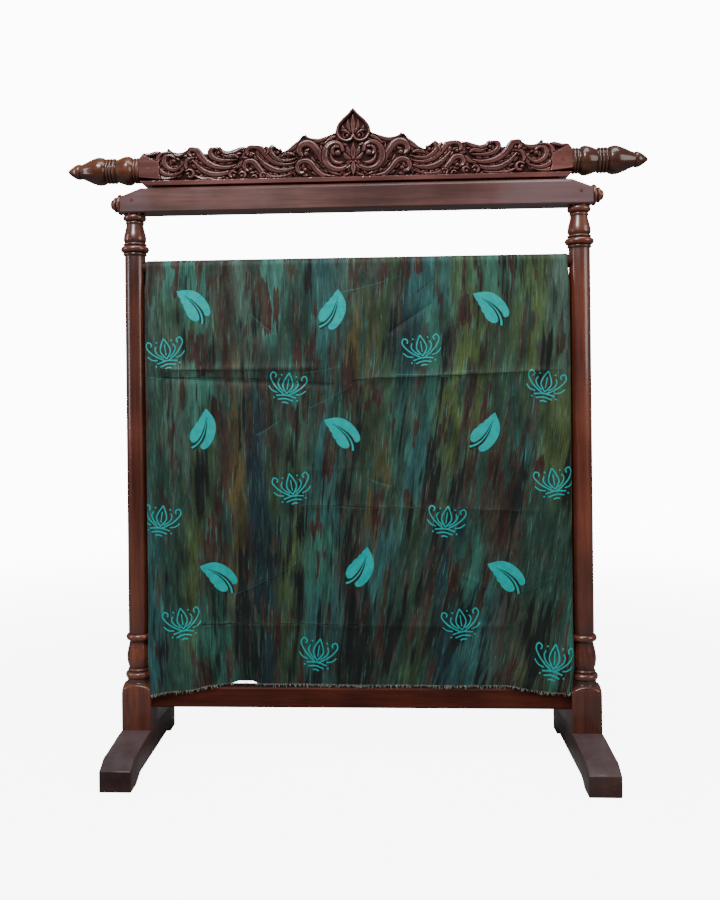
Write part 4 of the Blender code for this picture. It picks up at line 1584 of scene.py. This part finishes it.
    def bud(self) -> list[list[Point2]]:
        """Line-drawn bud between two curling leaves, on a short band.

        Returns:
            Printed outlines.
        """
        middle = (
            (1.0, ((0.0, -0.01), (-0.012, 0.008), (-0.01, 0.024), (0.0, 0.044))),
            (1.0, ((0.0, -0.01), (0.012, 0.008), (0.01, 0.024), (0.0, 0.044))),
            (0.8, ((0.0, 0.0), (0.0, 0.014), (0.0, 0.028))),
            (1.0, ((-0.026, -0.018), (0.0, -0.014), (0.026, -0.018))),
            (1.0, ((-0.02, -0.027), (0.0, -0.023), (0.02, -0.027))),
            (1.0, ((-0.008, -0.034), (0.0, -0.032), (0.008, -0.034))),
        )
        beside = (
            (1.0, ((0.004, -0.014), (0.02, -0.004), (0.036, 0.01), (0.047, 0.028), (0.042, 0.04),
                   (0.033, 0.035), (0.035, 0.027))),
            (0.9, ((0.008, -0.006), (0.02, 0.004), (0.026, 0.016), (0.022, 0.026))),
            (0.9, ((0.024, -0.01), (0.038, -0.006), (0.048, 0.004))),
        )
        dots = ((0.019, 0.036), (0.03, -0.024))
        angles = [step * math.pi / 5 for step in range(10)]
        shapes = [self.strip(marks, self.line * share) for share, marks in middle]
        for side in (-1, 1):
            shapes += [self.strip([(side * x, z) for x, z in marks], self.line * share)
                       for share, marks in beside]
            shapes += [[(side * x + self.dot * math.cos(angle), z + self.dot * math.sin(angle))
                        for angle in angles] for x, z in dots]
        return shapes

    def turned(self, outline: Sequence[Point2], x: float, z: float, degrees: float) -> Array:
        """Outline turned and moved to its place.

        Args:
            outline: Its points.
            x: Place across.
            z: Height of its middle when the cloth hangs.
            degrees: Turn, counter-clockwise.

        Returns:
            Points on the flat cloth, counter-clockwise.
        """
        turn = math.radians(degrees)
        points = np.array(outline)
        if np.sum(points[:, 0] * np.roll(points[:, 1], -1) - np.roll(points[:, 0], -1) * points[:, 1]) < 0:
            points = points[::-1]
        return np.stack([x + points[:, 0] * math.cos(turn) - points[:, 1] * math.sin(turn),
                         z - HEM_Z + points[:, 0] * math.sin(turn) + points[:, 1] * math.cos(turn)], axis=1)

    def outlines(self) -> list[tuple[Array, float]]:
        """Every outline on the flat cloth.

        Returns:
            Points of each, and how strongly it is printed or rubbed pale.
        """
        found = []
        for shift in (0.0, self.repeat):
            for x, z, angle in self.leaves:
                found += [(self.turned(shape, x, z + shift, angle - 90), share)
                          for shape, share in zip(self.leaf(), (1.0, 1.0, -0.9))]
            for x, z, angle in self.buds:
                found += [(self.turned(shape, x, z + shift, angle), 1.0) for shape in self.bud()]
        # Painted highlight lines along the folds, faintly in the stamp colour.
        for x0, z0, x1, z1 in self.fold_highlights:
            middle = ((x0 + x1) / 2, (z0 + z1) / 2 - 0.004)
            line = self.strip([(x0, z0), middle, (x1, z1)], 0.0017, 0.5)
            found.append((self.turned(line, 0.0, 0.0, 0.0), 0.2))
        # Painted shade lines along the folds.
        for marks in self.fold_shade_lines:
            found.append((self.turned(self.strip(marks, 0.0023, 0.6), 0.0, 0.0, 0.0), -0.62))
        return found


@dataclass
class DyeWork:
    """Brushed dyes: soft grounds laid one by one, then ragged strokes from top to bottom."""

    seed: int = 71
    tear: float = 0.03

    # Place across and height in millimetres, half width, half height, dye
    grounds: tuple[tuple[int, int, int, int, Dye], ...] = (
        (-530, 1150, 20, 200, Dye.GREY_GREEN), (-440, 1190, 50, 90, Dye.TEAL),
        (-430, 1080, 60, 50, Dye.MOSS), (-340, 1150, 24, 150, Dye.BROWN),
        (-280, 1150, 30, 150, Dye.GREY_GREEN), (-210, 1200, 30, 80, Dye.PALE_TEAL),
        (-150, 1130, 40, 150, Dye.DEEP_GREEN), (-80, 1180, 36, 110, Dye.BLUE_TEAL),
        (-10, 1220, 40, 60, Dye.GREY_GREEN), (20, 1080, 30, 120, Dye.OCHRE), (70, 1170, 36, 120, Dye.MOSS),
        (130, 1070, 30, 120, Dye.NAVY), (190, 1190, 36, 90, Dye.BLUE_TEAL), (210, 1060, 36, 90, Dye.TEAL),
        (290, 1120, 40, 120, Dye.OLIVE), (360, 1080, 40, 120, Dye.MOSS), (360, 1230, 60, 40, Dye.TEAL),
        (450, 1180, 30, 110, Dye.OLIVE), (460, 1060, 40, 70, Dye.MOSS),
        (520, 1130, 24, 140, Dye.GREY_GREEN), (-530, 850, 16, 150, Dye.DEEP_GREEN),
        (-460, 900, 40, 100, Dye.GREY_GREEN), (-390, 920, 40, 70, Dye.TEAL), (-400, 740, 30, 70, Dye.MOSS),
        (-340, 860, 20, 110, Dye.MAROON), (-305, 800, 18, 190, Dye.OCHRE), (-262, 800, 20, 180, Dye.NAVY),
        (-210, 900, 26, 90, Dye.MAROON), (-160, 920, 36, 70, Dye.TEAL), (-180, 740, 40, 80, Dye.MOSS),
        (-80, 880, 40, 80, Dye.BLUE_TEAL), (-100, 690, 50, 60, Dye.BLUE_TEAL),
        (-20, 800, 30, 130, Dye.DEEP_GREEN), (40, 880, 36, 100, Dye.MOSS), (60, 700, 30, 80, Dye.OCHRE),
        (110, 860, 30, 110, Dye.TEAL), (160, 720, 36, 110, Dye.BLUE_TEAL), (230, 830, 30, 110, Dye.OLIVE),
        (260, 900, 36, 80, Dye.OLIVE), (300, 740, 36, 100, Dye.BROWN), (370, 860, 36, 130, Dye.DEEP_GREEN),
        (440, 800, 24, 60, Dye.BLUE_TEAL), (450, 920, 36, 60, Dye.MOSS), (500, 830, 36, 100, Dye.OLIVE),
        # (-530, 420): blue-teal ground along the lower left margin, partly dye and partly painted highlight
        # where the curled margin catches the light.
        (520, 700, 24, 60, Dye.MOSS), (-530, 420, 20, 180, Dye.BLUE_TEAL),
        (-470, 520, 30, 120, Dye.DEEP_GREEN), (-430, 480, 22, 120, Dye.OLIVE),
        (-370, 540, 30, 70, Dye.BROWN), (-370, 340, 50, 100, Dye.TEAL), (-300, 520, 22, 120, Dye.OCHRE),
        (-265, 500, 20, 150, Dye.NAVY), (-280, 300, 30, 90, Dye.BLACK), (-220, 420, 24, 180, Dye.NAVY),
        (-175, 480, 26, 130, Dye.OLIVE), (-170, 290, 30, 80, Dye.MOSS), (-110, 510, 36, 80, Dye.TEAL),
        (-90, 340, 50, 90, Dye.BLUE_TEAL), (-20, 460, 26, 110, Dye.MAROON), (0, 300, 40, 90, Dye.BLACK),
        (50, 520, 30, 90, Dye.BLUE_TEAL), (100, 400, 36, 130, Dye.DEEP_GREEN), (150, 560, 24, 80, Dye.MOSS),
        (150, 280, 30, 70, Dye.MOSS), (220, 520, 36, 120, Dye.NAVY), (220, 300, 36, 90, Dye.NAVY),
        (290, 460, 36, 100, Dye.TEAL), (300, 300, 46, 80, Dye.BLUE_TEAL), (370, 600, 36, 80, Dye.BROWN),
        (370, 330, 36, 90, Dye.BROWN), (440, 500, 36, 110, Dye.DEEP_GREEN), (450, 300, 36, 80, Dye.MOSS),
        (510, 450, 30, 130, Dye.DEEP_GREEN), (530, 280, 30, 80, Dye.TEAL),
    )

    # Painted shade on the dyes: place across and height, half width, half height, depth
    shade_patches: tuple[tuple[float, float, float, float, float], ...] = (
        (-0.33, 0.34, 0.2, 0.2, 0.28), (0.0, 0.78, 0.18, 0.18, 0.2),
        (-0.05, 1.13, 0.12, 0.12, 0.12), (0.16, 1.06, 0.12, 0.11, 0.14),
    )

    def field(self, rng: np.random.Generator, a: Array, v: Array, across: float, along: float) -> Array:
        """Soft random field, drawn out along the strokes.

        Args:
            rng: Seeded source of numbers.
            a: Flat width from the middle.
            v: Flat length from the front hem.
            across: Cell size across.
            along: Cell size along.

        Returns:
            Values round 0.5, mostly between 0 and 1.
        """
        columns, rows = int(1.4 / across) + 3, int(2.4 / along) + 3
        grid = rng.random((columns, rows))
        x, y = (a + 0.62) / across, (v + 0.05) / along
        column, row = np.floor(x).astype(int), np.floor(y).astype(int)
        fx, fy = x - column, y - row
        fx, fy = fx * fx * (3 - 2 * fx), fy * fy * (3 - 2 * fy)
        lower = grid[column, row] * (1 - fx) + grid[column + 1, row] * fx
        upper = grid[column, row + 1] * (1 - fx) + grid[column + 1, row + 1] * fx
        return lower * (1 - fy) + upper * fy

    def grain(self, rng: np.random.Generator, a: Array, v: Array, across: float, along: float) -> Array:
        """Three layers of the soft field, each finer than the last."""
        total = self.field(rng, a, v, across, along)
        total += 0.6 * self.field(rng, a, v, across / 2, along / 2)
        total += 0.35 * self.field(rng, a, v, across / 4, along / 4)
        return total / 1.95

    def slope(self, x: Array | float, z: Array | float) -> Array | float:
        """Slope of the brush strokes, which fan out to the lower left on the right half."""
        depth = np.clip((DYE_TOP - z) / DYE_FALL, 0.0, 1.0)
        return 0.24 * depth ** 0.6 * eased(x, -0.35, 0.2) * (1.0 - 0.35 * eased(x, 0.22, 0.62))

    def lean(self, x: Array, z: Array) -> Array:
        """Metres by which a stroke has wandered sideways since it left the bar."""
        return self.slope(x, z) * np.clip(DYE_TOP - z, 0.0, DYE_FALL) / 1.6

    def ground(self, a: Array, height: Array) -> Array:
        """Soft ground colour.

        Args:
            a: Flat width from the middle.
            height: Height at which the point hangs, or would on the front.

        Returns:
            Colours, three columns.
        """
        total = np.full((len(a), 3), 1.0) * np.array(Dye.DEEP_GREEN.value) * 0.03
        weight = np.full(len(a), 0.03)
        for *sizes, dye in self.grounds:
            x, z, half_x, half_z = (size / 1000 for size in sizes)
            off = a - x - self.slope(x, z) * (height - z)
            share = np.exp(-0.8 * (np.abs(off / half_x) ** 2.4 + np.abs((height - z) / half_z) ** 2.4))
            total += share[:, None] * np.array(dye.value)
            weight += share
        return total / weight[:, None]

    def paint(self, a: Array, v: Array) -> dict[str, Array]:
        """Work out the dyes, with their patches of painted shade, at points of the flat sheet.

        Args:
            a: Flat width from the middle.
            v: Flat length from the front hem.

        Returns:
            Two ground colours, stroke colour, share of strokes, share of dark and brush coordinates.
        """
        rng = np.random.default_rng(self.seed)
        wander = (self.field(rng, a, v, 0.05, 0.09) - 0.5) * 0.02
        drift = (self.field(rng, a, v, 0.02, 0.25) - 0.5) * 0.15
        height = np.where(v < FRONT_DROP, v, 2 * FRONT_DROP + OVER_BAR - v) + HEM_Z
        side = np.where(v < FRONT_DROP + OVER_BAR / 2, a, -a)
        ground, lower = (self.ground(side + wander, np.clip(height + drift + tear, HEM_Z, DYE_TOP))
                         for tear in (self.tear, -self.tear))
        # Painted shade: soft darker patches laid over the dye colours.
        painted_shade = np.ones(len(a))
        for x, z, half_x, half_z, depth in self.shade_patches:
            painted_shade -= depth * np.exp(-((side - x) / half_x) ** 2 - ((height - z) / half_z) ** 2)
        ground, lower = ground * painted_shade[:, None], lower * painted_shade[:, None]
        brushed = a + self.lean(a, height)
        warmth = self.grain(rng, brushed, v, 0.026, 0.15)
        stroke = np.array(Dye.BROWN.value)
        for dye, start, end in ((Dye.MAROON, 0.58, 0.62), (Dye.SMOKE, 0.5, 0.44),
                                (Dye.DEEP_GREEN, 0.4, 0.34)):
            stroke = stroke + (np.array(dye.value) - stroke) * eased(warmth, start, end)[:, None]
        share = self.grain(rng, brushed, v, 0.026, 0.1)
        low = eased(height, 0.95, 0.25)
        share = 0.5 + (share - 0.5) * 1.9 - 0.09 - 0.14 * low
        dark = self.grain(rng, brushed, v, 0.036, 0.18)
        dark = 0.5 + (dark - 0.5) * 1.6 - 0.32 + 0.18 * low
        brush = np.stack([brushed + HALF_WIDTH, v, np.zeros(len(a))], axis=1)
        return {"ground_dye": ground, "lower_dye": lower, "stroke_dye": stroke, "stroke_share": share,
                "dark_share": dark, "brush": brush}


@dataclass
class HungCloth:
    """The batik sheet, one layer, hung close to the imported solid."""

    hang: Hang
    stamp: Stamp
    dyes: DyeWork
    fine: float = 0.0043
    coarse: float = 0.011

    def grid(self) -> Array:
        """Points of the plain sheet, close on the shown drop.

        Returns:
            Points on the flat sheet, two columns.
        """
        half = self.hang.width / 2
        inner = np.linspace(-self.hang.margin_start, self.hang.margin_start,
                            int(2 * self.hang.margin_start / self.fine) + 1)
        margin = np.linspace(self.hang.margin_start, half, 15)[1:]
        columns = np.concatenate([-margin[::-1], inner, margin])
        shown = np.linspace(0.0, BAR_Z - self.hang.lowest, int(FRONT_DROP / self.fine) + 1)
        wrap = BAR_Z - self.hang.lowest + np.linspace(0, math.pi * self.hang.path_radius, 19)[1:]
        first = self.points(columns, np.concatenate([shown, wrap]))
        broad = columns[::3]
        if broad[-1] != columns[-1]:
            broad = np.append(broad, columns[-1])
        behind = np.linspace(wrap[-1], self.hang.flat_length(), int(BACK_DROP / self.coarse) + 1)[1:]
        return np.concatenate([first, self.points(broad, behind)])

    def points(self, columns: Array, rows: Array) -> Array:
        """Crossing points of columns and rows, as two columns of numbers."""
        across, along = np.meshgrid(columns, rows)
        return np.stack([across.ravel(), along.ravel()], axis=1)

    def triangles(self) -> tuple[Array, Array, Array]:
        """Cut the flat sheet into triangles that keep to the stamps' edges.

        Returns:
            Flat points, triangles, and the share of print and of painted fold highlight and shade on each
            triangle.
        """
        half, length = self.hang.width / 2, self.hang.flat_length()
        outlines = []
        for points, strength in self.stamp.outlines():
            points = np.clip(points, (-half + 0.0004, 0.0), (half - 0.0004, length))
            if np.ptp(points[:, 0]) > 0.001 and np.ptp(points[:, 1]) > 0.001:
                outlines.append((points, strength))
        grid = self.grid()
        marks = np.concatenate([points for points, _strength in outlines])
        keep = np.ones(len(grid), bool)
        inside = (np.abs(grid[:, 0]) < half - 1e-6) & (grid[:, 1] > 1e-6)
        cell = 0.0016
        taken = {(int(x / cell), int(y / cell)) for x, y in marks + 1.0}
        for index in np.flatnonzero(inside):
            x, y = grid[index] + 1.0
            keep[index] = (int(x / cell), int(y / cell)) not in taken
        grid = grid[keep]
        flat = [Vector(map(float, point)) for point in grid]
        faces = []
        for points, _strength in outlines:
            faces.append(list(range(len(flat), len(flat) + len(points))))
            flat += [Vector(map(float, point)) for point in points]
        cut = delaunay_2d_cdt(flat, [], faces, 0, 1e-6, True)
        corners = np.array([tuple(point) for point in cut[0]])
        cut_faces = np.array(cut[2])
        share = np.zeros(len(cut_faces))
        for index, sources in enumerate(cut[5]):
            if sources:
                share[index] = max(outlines[source][1] for source in sources)
        return corners, cut_faces, share

    def mesh(self) -> Mesh:
        """Hang the sheet and lay its dyes with their painted shade, its stamps and its painted fold lines.

        Returns:
            The mesh, with its flat coordinates.
        """
        flat, faces, share = self.triangles()
        placed = self.hang.place(flat[:, 0], flat[:, 1])
        mesh = bpy.data.meshes.new("cloth")
        mesh.from_pydata(placed.tolist(), [], faces.tolist())
        for name, values in self.dyes.paint(flat[:, 0], flat[:, 1]).items():
            give(mesh, name, values)
        give(mesh, "print_share", np.repeat(share, 3), "CORNER")
        layer = mesh.uv_layers.new(name="flat")
        corner = np.zeros(len(mesh.loops), np.int32)
        mesh.loops.foreach_get("vertex_index", corner)
        shifted = flat + np.array([self.hang.width / 2, 0.0])
        layer.data.foreach_set("uv", shifted[corner].astype(np.float32).ravel())
        return mesh

    def build(self, finish: Material, fringe: Sequence[bpy.types.Object]) -> None:
        """Args:
            finish: Its material.
            fringe: Frayed ends that go with it; not used.
        """
        piece = add_piece("cloth_batik", self.mesh(), finish, ("cloth",), None)
        piece.data.shade_smooth()
        self.hang.flat_length()


def open_tree(name: str, kinds: dict[str, str]) -> tuple[Bench, bpy.types.NodeOutputs]:
    """Start a geometry node tree that gives out one geometry.

    Args:
        name: Its name.
        kinds: Kind of each input, as the end of Blender's name for it.

    Returns:
        Its bench and its inputs.
    """
    tree = bpy.data.node_groups.new(name, "GeometryNodeTree")
    for item, kind in kinds.items():
        tree.interface.new_socket(item, in_out="INPUT", socket_type="NodeSocket" + kind)
    tree.interface.new_socket("Pieces", in_out="OUTPUT", socket_type="NodeSocketGeometry")
    bench = Bench(tree)
    return bench, bench.put("NodeGroupInput").outputs


def close_tree(bench: Bench, instances: Node, finish: Socket) -> bpy.types.NodeTree:
    """End a tree: make its instances real and give them their finish.

    Args:
        bench: Bench of the tree.
        instances: Node that makes the instances.
        finish: Material input.

    Returns:
        The tree.
    """
    real = bench.put("GeometryNodeRealizeInstances", {0: instances.outputs[0]})
    dressed = bench.put("GeometryNodeSetMaterial", {"Geometry": real.outputs[0], "Material": finish})
    bench.put("NodeGroupOutput", {0: dressed.outputs[0]})
    return bench.tree


def grown(mesh: Mesh, tree: bpy.types.NodeTree, values: dict[str, object]) -> Mesh:
    """Plain mesh that a tree makes out of another.

    Args:
        mesh: What the tree starts from.
        tree: The node tree.
        values: Its inputs by name.

    Returns:
        The mesh.
    """
    thing = linked(mesh.name, mesh)
    work = thing.modifiers.new(tree.name, "NODES")
    work.node_group = tree
    for item in tree.interface.items_tree:
        if item.item_type == "SOCKET" and item.name in values:
            work[item.identifier] = values[item.name]
    return settled(thing)


@dataclass
class FrayedHem:
    """Loose thread ends along a cut edge, laid out by geometry nodes."""

    name: str
    hang: Hang
    along: float
    spacing: float = 0.0029
    length: float = 0.0085
    thickness: float = 0.00045
    seed: int = 5
    marks: int = 240
    inset: float = 0.002
    lift: float = 0.0008

    def edge(self) -> Mesh:
        """Line of the cut edge.

        Returns:
            Mesh of one open line.
        """
        half = self.hang.width / 2 - self.inset
        a = np.linspace(-half, half, self.marks)
        points = self.hang.place(a, np.full(len(a), self.along))
        points[:, 2] += self.lift
        mesh = bpy.data.meshes.new("hem_line")
        mesh.from_pydata(points.tolist(), [(index, index + 1) for index in range(len(a) - 1)], [])
        return mesh

    def tree(self) -> bpy.types.NodeTree:
        """Node tree that hangs a short thread at even steps along a line.

        Returns:
            The tree.
        """
        bench, given = open_tree("frayed hem", {"Edge": "Geometry", "Spacing": "Float", "Length": "Float",
                                                "Thickness": "Float", "Seed": "Int", "Finish": "Material"})
        curve = bench.put("GeometryNodeMeshToCurve", {"Mesh": given["Edge"]})
        steps = bench.put("GeometryNodeCurveToPoints", {"Curve": curve.outputs[0],
                                                        "Length": given["Spacing"]}, mode="LENGTH")
        drop = bench.put("ShaderNodeCombineXYZ", {"Z": bench.times(given["Length"], -1.0)})
        thread = bench.put("GeometryNodeCurvePrimitiveLine", {"End": drop.outputs[0]})
        ring = bench.put("GeometryNodeCurvePrimitiveCircle", {"Resolution": 5, "Radius": given["Thickness"]})
        body = bench.put("GeometryNodeCurveToMesh", {"Curve": thread.outputs[0], "Fill Caps": True,
                                                     "Profile Curve": ring.outputs[0]})
        lean = bench.put("FunctionNodeRandomValue", {"Min": (-0.25, -0.75, -0.4), "Max": (0.25, 0.75, 0.4),
                                                     "Seed": given["Seed"]}, data_type="FLOAT_VECTOR")
        turn = bench.put("FunctionNodeEulerToRotation", {0: lean.outputs[0]})
        size = bench.put("FunctionNodeRandomValue", {2: 0.25, 3: 1.25, "Seed": given["Seed"]},
                         data_type="FLOAT")
        stretch = bench.put("ShaderNodeCombineXYZ", {"X": 1.0, "Y": 1.0, "Z": size.outputs[1]})
        spread = bench.put("GeometryNodeInstanceOnPoints", {
            "Points": steps.outputs["Points"], "Instance": body.outputs[0], "Rotation": turn.outputs[0],
            "Scale": stretch.outputs[0]})
        return close_tree(bench, spread, given["Finish"])

    def build(self, finish: Material) -> bpy.types.Object:
        """Lay the threads out and add them.

        Args:
            finish: Their material.

        Returns:
            The piece.
        """
        mesh = grown(self.edge(), self.tree(), {
            "Spacing": self.spacing, "Length": self.length, "Thickness": self.thickness,
            "Seed": self.seed, "Finish": finish})
        return add_piece(self.name, mesh, finish, (), 40.0)


@dataclass
class Dowels:
    """Dowel ends that show in the beam and in the crest board's end panels."""

    radius: float = 0.0042
    proud: float = 0.0006
    places: tuple[Point3, ...] = (
        (-0.571, -0.033, 1.4395), (0.571, -0.033, 1.4395),
        (-0.528, -0.027, 1.521), (0.528, -0.027, 1.521),
    )

    def tree(self) -> bpy.types.NodeTree:
        """Node tree that sets a short cylinder on each point.

        Returns:
            The tree.
        """
        bench, given = open_tree("dowel ends", {"Places": "Geometry", "Radius": "Float", "Height": "Float",
                                                "Finish": "Material"})
        peg = bench.put("GeometryNodeMeshCylinder", {"Vertices": 24, "Radius": given["Radius"],
                                                     "Depth": given["Height"]})
        turn = bench.put("FunctionNodeEulerToRotation", {0: (math.pi / 2, 0.0, 0.0)})
        spread = bench.put("GeometryNodeInstanceOnPoints", {
            "Points": given["Places"], "Instance": peg.outputs["Mesh"], "Rotation": turn.outputs[0]})
        return close_tree(bench, spread, given["Finish"])

    def build(self, finish: Material) -> None:
        """Set the dowels.

        Args:
            finish: Their material.
        """
        mesh = bpy.data.meshes.new("dowel_places")
        mesh.from_pydata(self.places, [], [])
        mesh = grown(mesh, self.tree(), {"Radius": self.radius, "Height": 2 * self.proud, "Finish": finish})
        add_piece("dowel_ends", mesh, finish, (), 30.0)


@dataclass
class PlainTimbers:
    """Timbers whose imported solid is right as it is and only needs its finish."""

    finishes: dict[str, Material]

    def build(self) -> None:
        """Give each solid its finish."""
        for name, finish in self.finishes.items():
            node = bpy.data.objects[name]
            node.data.materials.clear()
            node.data.materials.append(finish)
            log.info("%s: new finish", name)


def wood_finishes() -> dict[str, Material]:
    """Finish of every timber, by name.

    Returns:
        The materials.
    """
    finishes = (
        VarnishedWood("post_wood", Stain.RED, Grain.ALONG_Z, scuffs=0.5, worn=0.25, coat=0.6, floor_shade=0.42),
        VarnishedWood("foot_wood", Stain.DEEP, Grain.ALONG_Y, scuffs=0.6, roughness=0.42, coat=0.3,
                      painted_sheen=0.2, shine=0.3, dust_and_sheen=0.62),
        VarnishedWood("rail_wood", Stain.RUST, Grain.ALONG_X, roughness=0.6, coat=0.0, shine=0.2),
        VarnishedWood("beam_wood", Stain.PLUM, Grain.ALONG_X, scuffs=0.3, roughness=0.38, coat=0.4,
                      painted_sheen=0.6),
        # These pairs are painted light: the crest lighter at its right end, the left finial lighter and the
        # right one darker.
        VarnishedWood("carved_wood", Stain.CARVED, Grain.ALONG_X, worn=0.4, coat=1.0, hollow_stain_and_shade=0.3,
                      ends=(1.0, 1.24), coat_roughness=0.065, roughness=0.3, dull_hollows=0.95,
                      shine=0.12),
        VarnishedWood("finial_wood", Stain.AMBER, Grain.ALONG_X, worn=0.2, coat=0.7, shine=0.25,
                      ends=(1.2, 0.66), coat_roughness=0.06),
    )
    return {finish.name: finish.build() for finish in finishes}


def main() -> None:
    """Build the studio and every piece."""
    logging.basicConfig(level=logging.INFO, format="%(name)s: %(message)s")
    Studio().build()
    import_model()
    wood = wood_finishes()
    for word, side in (("left", -1), ("right", 1)):
        Foot("foot_" + word, side).build(wood["foot_wood"])
        Post("post_" + word, side).build(wood["post_wood"])
        button = TurnedOnBoard("beam_button_" + word, (side * BEAM_HALF_LENGTH, 0.0, BUTTON_Z), side,
                               button_profile())
        button.build(wood["post_wood"], "post_wood")
        finial = TurnedOnBoard("crest_finial_" + word, (side * BOARD_HALF_LENGTH, 0.0, FINIAL_Z), side,
                               finial_profile())
        finial.build(wood["finial_wood"], "finial_wood")
    PlainTimbers({"lower_rail": wood["rail_wood"], "hanging_bar": wood["rail_wood"],
                  "top_beam": wood["beam_wood"], "crest_rest": wood["rail_wood"]}).build()
    CrestBoard().build(wood["carved_wood"])
    Dowels().build(wood["post_wood"])
    hang = Hang()
    yarn = FrayedYarn().build()
    fringe = [FrayedHem("hem_threads_front", hang, 0.0).build(yarn),
              FrayedHem("hem_threads_back", hang, hang.flat_length(), seed=9).build(yarn)]
    HungCloth(hang, Stamp(), DyeWork()).build(BatikCotton().build(), fringe)


if __name__ == "__main__":
    main()
